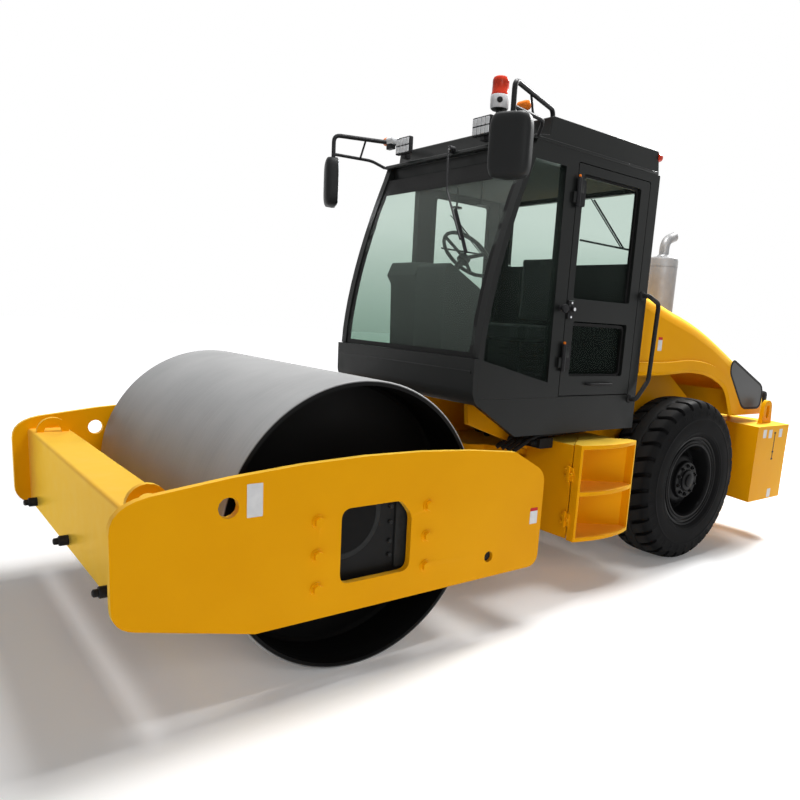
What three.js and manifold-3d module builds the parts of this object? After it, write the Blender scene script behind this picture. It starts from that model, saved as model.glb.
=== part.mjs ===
// Articulated single-drum road roller with a glazed cab, in millimetres.
// X points forward to the drum, Y to the machine's left and Z up from the ground. The origin lies on the
// ground under the middle of the machine's length and width.
import * as THREE from "three";
import { mergeVertices } from "three/addons/utils/BufferGeometryUtils.js";
import Module from "manifold-3d";

const wasm = await Module();
wasm.setup();

// ---- Driving dimensions ----------------------------------------------------------------------------
const OVERALL_LENGTH = 6390;
const FRONT_REACH = 1310; // drum axle to the front edge of the side plates
const WHEELBASE = 3394; // drum axle to rear axle
const DRUM_TO_PIVOT = 1710; // drum axle to the articulation pin

const DRUM_RADIUS = 800;
const DRUM_WIDTH = 2130;
const DRUM_SHELL = 30;
const DRUM_WEB = 25;
const DRUM_WEB_INSET = 330; // drum end to the outer face of its web

const FRAME_WIDTH = 2390; // over the side plates
const SIDE_PLATE = 40;
const BEAM_WALL = 22;
const FRONT_BEAM_DEPTH = 240;
const FRONT_BEAM_BOTTOM = 554;
const FRONT_BEAM_TOP = 1048;
const FRONT_BEAM_INSET = 90; // side plate's front edge to the beam's front face
const LUG_RADIUS = 95;
const LUG_THICKNESS = 30;

const CROSSBEAM_REAR = 1240; // drum axle back to the crossbeam's rear face
const CROSSBEAM_DEPTH = 230;
const CROSSBEAM_BOTTOM = 520;
const CROSSBEAM_TOP = 980;
const OSCILLATION_Z = 750;
const OSCILLATION_SHAFT = 100; // radius
const OSCILLATION_BOSS = 185; // radius
const OSCILLATION_BOSS_LENGTH = 60;

const PIVOT_PIN = 60; // radius
const YOKE_BARREL = 110; // radius
const EAR_ROUND = 150; // radius of the frame ears round the pivot
const EAR = 40; // thickness
const LOWER_EAR_BOTTOM = 500;
const UPPER_EAR_TOP = 985;

const FRAME_OUTER = 470; // half width of the rear frame
const FRAME_PLATE = 40;
const FRAME_NOSE_X = -10;
const FRAME_BOTTOM = 450;
const FRAME_TOP = 1150;

const TYRE_RADIUS = 700;
const TYRE_WIDTH = 450;
const TYRE_OUTER_FACE = 1000; // Y of the outer sidewall
const BEAD_RADIUS = 335;
const SPINDLE_RADIUS = 60;
const AXLE_RADIUS = 110;

const CAB_REAR_AHEAD_OF_AXLE = 734;
const CAB_HALF_WIDTH = 830;
const CAB_FRONT = 1720; // cab lengths run forward from the outer face of its rear wall
const CAB_BOTTOM = 1180;
const CAB_FLOOR = 1440;
const CAB_FLOOR_PLATE = 40;
const CAB_SHEET = 40; // wall of the tub and of the rear panel
const SIDE_FRAME = 60; // thickness of the side frames
const SILL_Z = 1700; // top of the front panel, under the windscreen
const HEADER_Z = 3078; // underside of the roof
const ROOF_TOP = 3240;
const GLASS = 8;
const DOOR_REAR = 110;
const DOOR_FRONT = 905;
const DOOR_BOTTOM = 1452;
const DOOR_TOP = 3010;
const DOOR_THICKNESS = 40;
const HINGE_RADIUS = 14;

const STEP_FRONT_X = 25;
const STEP_LENGTH = 640;
const STEP_BOTTOM = 400;
const STEP_TOP = 1115;
const STEP_OUTER = 1000; // Y of the straight outer edge
const STEP_BULGE = 55;
const STEP_FLANGE = 65; // depth of the flange in front of the V-shaped back
const STEP_DEPTH = 300; // outer edge to the back of the V
const TREAD = 30;
const STEP_SHEET = 20;

const BALLAST_FRONT_X = -2505;
const BALLAST_BOTTOM = 400;
const BALLAST_TOP = 1125;
const BALLAST_HALF_WIDTH = 1000;

const HOOD_HALF_WIDTH = 750;
const HOOD_WALL = 25;
const HOOD_FRONT_X = -850;
const HOOD_REAR_X = -3090;
const HOOD_SKIRT_Z = 1200;
const HOOD_HINGE_Z = 1245;
const HOOD_HINGE_BACK = 31; // hood's rear face back to its hinge axis
const MUFFLER_RADIUS = 135;
const MUFFLER_TOP = 2610;
const STACK_RADIUS = 45;

const BEACON_TOP = 3545;
const BEACON_RADIUS = 64;
const TUBE_RADIUS = 14; // handrails and mirror arms

const SEAT_GAP = 0.3; // between pieces that touch
const PIN_GAP = 0.8; // round a pin in its bore
const MOVING_GAP = 6; // between pieces that move past each other

// ---- Places that follow ----------------------------------------------------------------------------
const DRUM_X = OVERALL_LENGTH / 2 - FRONT_REACH;
const REAR_X = -OVERALL_LENGTH / 2;
const AXLE_X = DRUM_X - WHEELBASE;
const PIVOT_X = DRUM_X - DRUM_TO_PIVOT;
const CAB_X = AXLE_X + CAB_REAR_AHEAD_OF_AXLE;
const PLATE_INNER = FRAME_WIDTH / 2 - SIDE_PLATE;
const CROSSBEAM_X = DRUM_X - CROSSBEAM_REAR;
const FRAME_INNER = FRAME_OUTER - FRAME_PLATE;
const HOOD_HINGE_X = HOOD_REAR_X - HOOD_HINGE_BACK;
const TYRE_Y = TYRE_OUTER_FACE - TYRE_WIDTH / 2;
const SIDES = [
  ["left", 1],
  ["right", -1],
];

// ---- Finishes --------------------------------------------------------------------------------------
const finish = (color, roughness, metalness = 0, extra = {}) =>
  new THREE.MeshStandardMaterial({ color, roughness, metalness, ...extra });
const yellowPaint = finish(0xe2a019, 0.4);
const charcoalPaint = finish(0x2e302f, 0.5);
const blackPaint = finish(0x141414, 0.6);
const rolledSteel = finish(0x77787a, 0.4, 0.9);
const tyreRubber = finish(0x1c1c1d, 0.9);
const tintedGlass = finish(0x9fb8ae, 0.05, 0, { transparent: true, opacity: 0.4 });
const mufflerMetal = finish(0xb4b6b8, 0.4, 0.8);
const seatFabric = finish(0x26282a, 0.95);
const beaconRed = finish(0xd8392c, 0.2);
const chromedRod = finish(0xd0d2d4, 0.15, 1);

// ---- Solids ----------------------------------------------------------------------------------------
// A closed geometry as a solid: equal corners are merged and collapsed triangles dropped.
function solid(geometry) {
  const bare = geometry.index ? geometry.toNonIndexed() : geometry.clone();
  for (const name of Object.keys(bare.attributes)) if (name !== "position") bare.deleteAttribute(name);
  const merged = mergeVertices(bare, 1e-3);
  const corners = merged.index.array;
  const kept = [];
  for (let i = 0; i < corners.length; i += 3) {
    const [a, b, c] = corners.slice(i, i + 3);
    if (a !== b && b !== c && c !== a) kept.push(a, b, c);
  }
  return new wasm.Manifold(
    new wasm.Mesh({
      numProp: 3,
      vertProperties: merged.attributes.position.array,
      triVerts: new Uint32Array(kept),
    }),
  );
}

const joined = (...solids) => solids.reduce((all, one) => all.add(one));

function box(x0, x1, y0, y1, z0, z1) {
  const geometry = new THREE.BoxGeometry(x1 - x0, y1 - y0, z1 - z0);
  return solid(geometry.translate((x0 + x1) / 2, (y0 + y1) / 2, (z0 + z1) / 2));
}

// A box between two distances from the middle plane, on one side of the machine.
function sideBox(side, x0, x1, near, far, z0, z1) {
  return box(x0, x1, Math.min(side * near, side * far), Math.max(side * near, side * far), z0, z1);
}

// A closed outline from corners [a, b, setback]: the setback is how far from the corner its rounding starts.
function outline(corners) {
  const shape = new THREE.Shape();
  const at = (i) => new THREE.Vector2(...corners.at(i % corners.length).slice(0, 2));
  corners.forEach(([a, b, setback = 0], i) => {
    const here = at(i);
    const start = at(i - 1).sub(here).setLength(setback).add(here);
    const end = at(i + 1).sub(here).setLength(setback).add(here);
    if (i) shape.lineTo(start.x, start.y);
    else shape.moveTo(start.x, start.y);
    if (setback) shape.quadraticCurveTo(a, b, end.x, end.y);
  });
  shape.closePath();
  return shape;
}

const shifted = (corners, da, db) => corners.map(([a, b, setback]) => [a + da, b + db, setback]);

function round(a, b, radius) {
  return new THREE.Path().absarc(a, b, radius, 0, 2 * Math.PI);
}

const AXES = { X: new THREE.Vector3(1, 0, 0), Y: new THREE.Vector3(0, 1, 0), Z: new THREE.Vector3(0, 0, 1) };

// An outline drawn in the plane of two axes, such as "XZ", made into a slab between two places on the third.
// The edges of its two faces can be rounded.
function slab(plane, shape, from, to, curveSegments = 6, rounding = 0) {
  const geometry = new THREE.ExtrudeGeometry(shape, {
    depth: Math.abs(to - from) - 2 * rounding,
    bevelEnabled: rounding > 0,
    bevelSize: rounding,
    bevelThickness: rounding,
    bevelOffset: -rounding,
    bevelSegments: 4,
    curveSegments,
  });
  geometry.translate(0, 0, rounding);
  const across = AXES[plane[0]];
  const up = AXES[plane[1]];
  const along = across.clone().cross(up);
  const place = new THREE.Matrix4().makeBasis(across, up, along);
  const forward = along.x + along.y + along.z > 0;
  const start = along.clone().multiplyScalar(forward ? Math.min(from, to) : -Math.max(from, to));
  return solid(geometry.applyMatrix4(place).translate(start.x, start.y, start.z));
}

function sideSlab(side, shape, near, far, curveSegments) {
  return slab("XZ", shape, side * near, side * far, curveSegments);
}

// A round bar along an axis between two places on it, centred at [a, b] on the other two axes in order.
function bar(axis, radius, from, to, [a, b], segments = 32) {
  const geometry = new THREE.CylinderGeometry(radius, radius, Math.abs(to - from), segments);
  const middle = (from + to) / 2;
  if (axis === "X") geometry.rotateZ(-Math.PI / 2).translate(middle, a, b);
  if (axis === "Y") geometry.translate(a, middle, b);
  if (axis === "Z") geometry.rotateX(Math.PI / 2).translate(a, b, middle);
  return solid(geometry);
}

// A closed profile of [radius, distance] pairs turned about the Y axis through [x, y, z].
function turned(profile, [x, y, z], segments = 48) {
  const points = [...profile, profile[0]].map(([r, h]) => new THREE.Vector2(r, h));
  const made = solid(new THREE.LatheGeometry(points, segments).translate(x, y, z));
  return made;
}

// A round tube through points, its corners rounded from the setback given.
function tube(points, radius, setback = 60, sides = 6) {
  const path = new THREE.CurvePath();
  const at = points.map((p) => new THREE.Vector3(...p));
  let from = at[0];
  for (let i = 1; i < at.length - 1; i++) {
    const before = at[i - 1].clone().sub(at[i]).setLength(setback).add(at[i]);
    const after = at[i + 1].clone().sub(at[i]).setLength(setback).add(at[i]);
    path.add(new THREE.LineCurve3(from, before));
    path.add(new THREE.QuadraticBezierCurve3(before, at[i], after));
    from = after;
  }
  path.add(new THREE.LineCurve3(from, at.at(-1)));
  const section = new THREE.Shape().absarc(0, 0, radius, 0, 2 * Math.PI);
  const geometry = new THREE.ExtrudeGeometry(section, {
    steps: 4 * (at.length - 1),
    curveSegments: sides / 2,
    extrudePath: path,
  });
  return solid(geometry);
}

// ---- The exported group ----------------------------------------------------------------------------
const roller = new THREE.Group();
roller.name = "road_roller";

function add(name, made, material) {
  const { vertProperties, triVerts } = made.getMesh();
  const geometry = new THREE.BufferGeometry()
    .setAttribute("position", new THREE.BufferAttribute(vertProperties, 3))
    .setIndex(new THREE.BufferAttribute(triVerts, 1));
  geometry.computeVertexNormals();
  const mesh = new THREE.Mesh(geometry, material);
  mesh.name = name;
  roller.add(mesh);
}

// ---- Drum ------------------------------------------------------------------------------------------
// A rolled shell with two recessed webs, each bored for the carrier's shaft.
const WEB_OUTER = DRUM_WIDTH / 2 - DRUM_WEB_INSET;
const WEB_INNER = WEB_OUTER - DRUM_WEB;
const CARRIER_SHAFT = 80; // radius
{
  const half = DRUM_WIDTH / 2;
  const inside = DRUM_RADIUS - DRUM_SHELL;
  const bore = CARRIER_SHAFT + PIN_GAP;
  const profile = [
    [DRUM_RADIUS, -half],
    [DRUM_RADIUS, half],
    [inside, half],
    [inside, WEB_OUTER],
    [bore, WEB_OUTER],
    [bore, WEB_INNER],
    [inside, WEB_INNER],
    [inside, -WEB_INNER],
    [bore, -WEB_INNER],
    [bore, -WEB_OUTER],
    [inside, -WEB_OUTER],
    [inside, -half],
  ];
  add("drum", turned(profile, [DRUM_X, 0, DRUM_RADIUS], 44), rolledSteel);
}

// ---- Front frame -----------------------------------------------------------------------------------
// Two side plates joined by a front beam and a rear crossbeam.
const BUFFER_COLUMN = 345; // distance of the buffer columns from the drum axle
const BUFFER_ROWS = [561, 737, 913]; // heights of the buffers
const BUFFER_RADIUS = 55;
const BOLT_RADIUS = 27; // across the corners of the head
const BOLT_HEAD = 20; // height
const WASHER_RADIUS = 36;
const WASHER = 6; // thickness

// The side plate, drawn from the drum axle: a gently arched top and a bottom that rises to the front.
function sidePlateOutline() {
  const x = (forward) => DRUM_X + forward;
  const shape = new THREE.Shape();
  shape.moveTo(x(FRONT_REACH), 660);
  shape.lineTo(x(FRONT_REACH), 985);
  shape.quadraticCurveTo(x(FRONT_REACH), 1100, x(1150), 1130);
  shape.quadraticCurveTo(x(60), 1298, x(-1006), 1167);
  shape.lineTo(x(-1215), 1055);
  shape.quadraticCurveTo(x(-1280), 1015, x(-1280), 950);
  shape.lineTo(x(-1280), 490);
  shape.quadraticCurveTo(x(-1280), 397, x(-1190), 397);
  shape.lineTo(x(670), 397);
  shape.lineTo(x(1215), 540);
  shape.quadraticCurveTo(x(FRONT_REACH), 565, x(FRONT_REACH), 660);
  const window = outline(
    shifted([[210, 960, 60], [-162, 962, 35], [-235, 873, 35], [-235, 555, 60], [210, 555, 60]], DRUM_X, 0),
  );
  shape.holes.push(window, round(x(803), 1040, 50), round(x(-839), 528, 35));
  return shape;
}

for (const [name, side] of SIDES) {
  const face = FRAME_WIDTH / 2;
  let plate = sideSlab(side, sidePlateOutline(), PLATE_INNER, face, 6);
  for (const column of [-BUFFER_COLUMN, BUFFER_COLUMN])
    for (const z of BUFFER_ROWS) {
      const at = [DRUM_X + column, z];
      plate = plate.add(bar("Y", WASHER_RADIUS, side * (face - 2), side * (face + WASHER), at, 16));
      plate = plate.add(bar("Y", BOLT_RADIUS, side * face, side * (face + WASHER + BOLT_HEAD), at, 6));
    }
  add(`side_plate_${name}`, plate, yellowPaint);
}

const BEAM_FRONT_X = DRUM_X + FRONT_REACH - FRONT_BEAM_INSET;
{
  const rear = BEAM_FRONT_X - FRONT_BEAM_DEPTH;
  const section = outline([
    [rear, FRONT_BEAM_BOTTOM],
    [BEAM_FRONT_X, FRONT_BEAM_BOTTOM],
    [BEAM_FRONT_X, FRONT_BEAM_TOP, 22],
    [rear, FRONT_BEAM_TOP, 22],
  ]);
  section.holes.push(
    outline([
      [rear + BEAM_WALL, FRONT_BEAM_BOTTOM + BEAM_WALL],
      [BEAM_FRONT_X - BEAM_WALL, FRONT_BEAM_BOTTOM + BEAM_WALL],
      [BEAM_FRONT_X - BEAM_WALL, FRONT_BEAM_TOP - BEAM_WALL],
      [rear + BEAM_WALL, FRONT_BEAM_TOP - BEAM_WALL],
    ]),
  );
  const end = PLATE_INNER - SEAT_GAP;
  let beam = slab("XZ", section, -end, end);
  const lug = new THREE.Shape();
  const lugX = BEAM_FRONT_X - FRONT_BEAM_DEPTH / 2;
  const lugBore = LUG_RADIUS - 42;
  lug.absarc(lugX, FRONT_BEAM_TOP, LUG_RADIUS, 0, Math.PI);
  lug.lineTo(lugX - LUG_RADIUS, FRONT_BEAM_TOP - BEAM_WALL / 2);
  lug.lineTo(lugX - lugBore, FRONT_BEAM_TOP - BEAM_WALL / 2);
  lug.absarc(lugX, FRONT_BEAM_TOP, lugBore, Math.PI, 0, true);
  lug.lineTo(lugX + lugBore, FRONT_BEAM_TOP - BEAM_WALL / 2);
  lug.lineTo(lugX + LUG_RADIUS, FRONT_BEAM_TOP - BEAM_WALL / 2);
  const lugInset = 140; // side plate to the lug
  for (const side of [1, -1]) {
    const near = end - lugInset - LUG_THICKNESS;
    beam = beam.add(sideSlab(side, lug, near, near + LUG_THICKNESS, 5));
  }
  add("front_beam", beam, yellowPaint);
}

{
  const front = CROSSBEAM_X + CROSSBEAM_DEPTH;
  const rectangle = (inset) =>
    outline([
      [CROSSBEAM_X + inset, CROSSBEAM_BOTTOM + inset],
      [front - inset, CROSSBEAM_BOTTOM + inset],
      [front - inset, CROSSBEAM_TOP - inset],
      [CROSSBEAM_X + inset, CROSSBEAM_TOP - inset],
    ]);
  const section = rectangle(0);
  section.holes.push(rectangle(BEAM_WALL));
  const end = PLATE_INNER - SEAT_GAP;
  const bossRear = CROSSBEAM_X - OSCILLATION_BOSS_LENGTH;
  const boss = bar("X", OSCILLATION_BOSS, bossRear, CROSSBEAM_X + BEAM_WALL, [0, OSCILLATION_Z], 32);
  const boreEnd = front - BEAM_WALL - 10;
  const bore = bar("X", OSCILLATION_SHAFT + PIN_GAP, bossRear - 10, boreEnd, [0, OSCILLATION_Z], 32);
  add("rear_crossbeam", slab("XZ", section, -end, end).add(boss).subtract(bore), yellowPaint);
}

// Drum carriers: a plate on rubber buffers inside each side plate, with the motor and shaft that hold
// the drum.
for (const [name, side] of SIDES) {
  const plateInner = DRUM_WIDTH / 2 + 30;
  const plateOuter = plateInner + 25;
  const seat = PLATE_INNER - SEAT_GAP;
  const motorEnd = WEB_OUTER + 25;
  const shape = outline(
    shifted([[410, 500, 60], [410, 985, 60], [-410, 985, 60], [-410, 500, 60]], DRUM_X, 0),
  );
  const centre = [DRUM_X, DRUM_RADIUS];
  const parts = [
    sideSlab(side, shape, plateInner, plateOuter),
    bar("Y", 190, side * motorEnd, side * (plateInner + 5), centre, 20),
    bar("Y", CARRIER_SHAFT, side * (WEB_INNER - 20), side * (motorEnd + 5), centre, 20),
  ];
  for (const column of [-BUFFER_COLUMN, BUFFER_COLUMN])
    for (const z of BUFFER_ROWS)
      parts.push(bar("Y", BUFFER_RADIUS, side * (plateOuter - 5), side * seat, [DRUM_X + column, z], 8));
  add(`drum_carrier_${name}`, joined(...parts), blackPaint);
}

// ---- Articulation ----------------------------------------------------------------------------------
// The yoke turns on the vertical pivot in the rear frame's ears and carries the front frame on a
// lengthwise shaft. Its clevises take the eyes of the steering cylinders.
const CYLINDER_Z = 640;
const CYLINDER_EYE = 45; // radius
const CYLINDER_EYE_HALF = 30; // half height
const CLEVIS_X = PIVOT_X + 220;
const CLEVIS_Y = 260;
const CLEVIS_PLATE = 25;
const CLEVIS_GAP = 10; // eye to clevis plate
const BARREL_PIN_X = PIVOT_X - 505;
const BARREL_PIN_Y = 300;
const CYLINDER_PIN = 25; // radius
const BARREL_RADIUS = 48;
const BARREL_LENGTH = 450; // barrel pin to the mouth of the barrel
const ROD_RADIUS = 24;
const ROD_LENGTH = 486; // eye to the inner end of the rod
{
  const lowerEar = LOWER_EAR_BOTTOM + EAR;
  const upperEar = UPPER_EAR_TOP - EAR;
  const bossRear = CROSSBEAM_X - OSCILLATION_BOSS_LENGTH;
  const flangeFront = bossRear - MOVING_GAP;
  const centre = [0, OSCILLATION_Z];
  const clevis = outline([
    [CLEVIS_X - 60, -CLEVIS_Y - 65, 60],
    [CLEVIS_X + 60, -CLEVIS_Y - 65, 60],
    [CLEVIS_X + 110, 0],
    [CLEVIS_X + 60, CLEVIS_Y + 65, 60],
    [CLEVIS_X - 60, CLEVIS_Y + 65, 60],
    [CLEVIS_X - 110, 0],
  ]);
  const clevisLow = CYLINDER_Z - CYLINDER_EYE_HALF - CLEVIS_GAP;
  const clevisHigh = CYLINDER_Z + CYLINDER_EYE_HALF + CLEVIS_GAP;
  const yoke = joined(
    bar("Z", YOKE_BARREL, lowerEar + 1, upperEar - 1, [PIVOT_X, 0], 32),
    bar("Z", PIVOT_PIN, LOWER_EAR_BOTTOM, UPPER_EAR_TOP, [PIVOT_X, 0], 24),
    box(PIVOT_X, flangeFront - 20, -YOKE_BARREL, YOKE_BARREL, OSCILLATION_Z - 150, OSCILLATION_Z + 130),
    bar("X", OSCILLATION_BOSS, flangeFront - 35, flangeFront, centre, 32),
    bar("X", OSCILLATION_SHAFT, flangeFront - 10, CROSSBEAM_X + 120, centre, 32),
    slab("XY", clevis, clevisLow - CLEVIS_PLATE, clevisLow),
    slab("XY", clevis, clevisHigh, clevisHigh + CLEVIS_PLATE),
  );
  add("yoke", yoke, yellowPaint);
}

for (const [name, side] of SIDES) {
  const pin = new THREE.Vector3(BARREL_PIN_X, side * BARREL_PIN_Y, CYLINDER_Z);
  const eye = new THREE.Vector3(CLEVIS_X, side * CLEVIS_Y, CYLINDER_Z);
  const reach = eye.distanceTo(pin);
  const turn = Math.atan2(eye.y - pin.y, eye.x - pin.x);
  const placed = (made) => {
    const matrix = new THREE.Matrix4().makeRotationZ(turn).setPosition(pin);
    return made.transform(matrix.elements);
  };
  const low = -CYLINDER_EYE_HALF;
  const high = CYLINDER_EYE_HALF;
  const barrel = joined(
    bar("X", BARREL_RADIUS, 30, BARREL_LENGTH, [0, 0], 20),
    bar("Z", CYLINDER_EYE + 10, low, high, [0, 0], 20),
  )
    .subtract(bar("Z", CYLINDER_PIN + PIN_GAP, low - 30, high + 30, [0, 0], 24))
    .subtract(bar("X", ROD_RADIUS + PIN_GAP, 65, BARREL_LENGTH + 10, [0, 0], 20));
  const rod = joined(
    bar("X", ROD_RADIUS, reach - ROD_LENGTH, reach - 10, [0, 0], 20),
    bar("Z", CYLINDER_EYE, low, high, [reach, 0], 20),
  );
  add(`steering_barrel_${name}`, placed(barrel), yellowPaint);
  add(`steering_rod_${name}`, placed(rod), chromedRod);
}

// ---- Rear frame ------------------------------------------------------------------------------------
// Two long side plates, the ears round the pivot, arms that carry the front of the cab, engine bay
// panels over the wheels, and a tail that carries the ballast and the hood's hinge.
const AXLE_CLEARANCE = 130; // axle centre up to the frame over it
const DIFFERENTIAL = 225; // radius
const DECK_PLATE = 30; // the engine stands on this plate
const DECK_Z = TYRE_RADIUS + DIFFERENTIAL + DECK_PLATE + 20;
const BAY_TOP = 1560;
const BAY_REAR_X = AXLE_X - 900;
const TAIL_X = BALLAST_FRONT_X - 375;
{
  const overAxle = TYRE_RADIUS + AXLE_CLEARANCE;
  const sideOutline = outline([
    [FRAME_NOSE_X, FRAME_BOTTOM],
    [FRAME_NOSE_X, 985],
    [CAB_X + 1420, 1215],
    [CAB_X + 1440, CAB_FLOOR - CAB_FLOOR_PLATE - SEAT_GAP],
    [CAB_X + 700, CAB_FLOOR - CAB_FLOOR_PLATE - SEAT_GAP],
    [CAB_X + 560, FRAME_TOP],
    [HOOD_FRONT_X + 20, FRAME_TOP],
    [HOOD_FRONT_X - 40, BAY_TOP],
    [AXLE_X - 260, BAY_TOP],
    [BAY_REAR_X, FRAME_TOP],
    [TAIL_X, FRAME_TOP - 30],
    [TAIL_X, BALLAST_BOTTOM + 120],
    [AXLE_X - 780, BALLAST_BOTTOM + 120],
    [AXLE_X - 560, overAxle],
    [AXLE_X + 480, overAxle],
    [AXLE_X + 640, FRAME_BOTTOM],
  ]);
  const ear = new THREE.Shape();
  const earRear = FRAME_NOSE_X - 460;
  ear.moveTo(earRear, -FRAME_INNER - 5);
  ear.lineTo(FRAME_NOSE_X, -FRAME_INNER - 5);
  ear.lineTo(PIVOT_X, -EAR_ROUND);
  ear.absarc(PIVOT_X, 0, EAR_ROUND, -Math.PI / 2, Math.PI / 2);
  ear.lineTo(FRAME_NOSE_X, FRAME_INNER + 5);
  ear.lineTo(earRear, FRAME_INNER + 5);
  ear.holes.push(round(PIVOT_X, 0, PIVOT_PIN + PIN_GAP));
  const lowerEar = LOWER_EAR_BOTTOM + EAR;
  const parts = [
    slab("XY", ear, LOWER_EAR_BOTTOM, lowerEar, 12),
    slab("XY", ear, UPPER_EAR_TOP - EAR, UPPER_EAR_TOP, 12),
  ];
  for (const side of [1, -1]) {
    parts.push(sideSlab(side, sideOutline, FRAME_INNER, FRAME_OUTER));
    const at = [BARREL_PIN_X, side * BARREL_PIN_Y];
    parts.push(bar("Z", 60, lowerEar - 5, CYLINDER_Z - BARREL_RADIUS - MOVING_GAP, at, 16));
    parts.push(bar("Z", CYLINDER_PIN, lowerEar, CYLINDER_Z + CYLINDER_EYE_HALF + 20, at, 24));
  }
  // cross plates: behind the ears, over the axle and at the tail
  const inner = FRAME_INNER + 5;
  parts.push(box(earRear, earRear + 30, -inner, inner, LOWER_EAR_BOTTOM, UPPER_EAR_TOP));
  parts.push(box(CAB_X + 620, CAB_X + 660, -inner, inner, FRAME_TOP - 60, FRAME_TOP - 20));
  parts.push(box(AXLE_X - 300, AXLE_X + 300, -inner, inner, DECK_Z - DECK_PLATE, DECK_Z));
  parts.push(box(TAIL_X, TAIL_X + 30, -inner, inner, BALLAST_BOTTOM + 120, FRAME_TOP - 30));
  add("rear_frame", joined(...parts), yellowPaint);
}

// Ballast: a full-width block behind the wheels, notched round the frame's tail, with lifting eyes and
// the ears and pins that the hood turns on.
const HOOD_EAR_Y = 380; // middle plane to the outer face of a hinge ear
const HOOD_EAR = 30; // thickness
const HOOD_EAR_HALF = 22; // half width
const HOOD_PIN = 12; // radius
{
  const chamfer = 88;
  const tailGap = FRAME_OUTER + SEAT_GAP;
  const plan = outline([
    [BALLAST_FRONT_X, BALLAST_HALF_WIDTH],
    [BALLAST_FRONT_X - 150, tailGap],
    [TAIL_X - SEAT_GAP, tailGap],
    [TAIL_X - SEAT_GAP, -tailGap],
    [BALLAST_FRONT_X - 150, -tailGap],
    [BALLAST_FRONT_X, -BALLAST_HALF_WIDTH],
    [REAR_X + chamfer, -BALLAST_HALF_WIDTH],
    [REAR_X, -BALLAST_HALF_WIDTH + 2.5 * chamfer],
    [REAR_X, BALLAST_HALF_WIDTH - 2.5 * chamfer],
    [REAR_X + chamfer, BALLAST_HALF_WIDTH],
  ]);
  const parts = [slab("XY", plan, BALLAST_BOTTOM, BALLAST_TOP)];
  const eyeX = REAR_X + 295;
  const eyeZ = BALLAST_TOP + 150;
  const eye = new THREE.Shape();
  eye.moveTo(eyeX - 95, BALLAST_TOP - 5);
  eye.lineTo(eyeX + 95, BALLAST_TOP - 5);
  eye.lineTo(eyeX + 75, eyeZ);
  eye.absarc(eyeX, eyeZ, 75, 0, Math.PI);
  eye.lineTo(eyeX - 95, BALLAST_TOP - 5);
  const slot = new THREE.Path();
  slot.absarc(eyeX, eyeZ, 28, 0, Math.PI);
  slot.absarc(eyeX, eyeZ - 70, 28, Math.PI, 2 * Math.PI);
  slot.closePath();
  eye.holes.push(slot);
  const earOutline = outline([
    [HOOD_HINGE_X - HOOD_EAR_HALF, BALLAST_TOP - 5],
    [HOOD_HINGE_X + HOOD_EAR_HALF, BALLAST_TOP - 5],
    [HOOD_HINGE_X + HOOD_EAR_HALF, HOOD_HINGE_Z + HOOD_EAR_HALF, HOOD_EAR_HALF],
    [HOOD_HINGE_X - HOOD_EAR_HALF, HOOD_HINGE_Z + HOOD_EAR_HALF, HOOD_EAR_HALF],
  ]);
  for (const side of [1, -1]) {
    parts.push(sideSlab(side, eye, 830, 870, 8));
    parts.push(sideSlab(side, earOutline, HOOD_EAR_Y - HOOD_EAR, HOOD_EAR_Y, 4));
    const pinEnd = side * (HOOD_EAR_Y + MOVING_GAP + HOOD_EAR);
    parts.push(bar("Y", HOOD_PIN, side * (HOOD_EAR_Y - 5), pinEnd, [HOOD_HINGE_X, HOOD_HINGE_Z], 20));
  }
  add("ballast", joined(...parts), yellowPaint);
}

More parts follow.
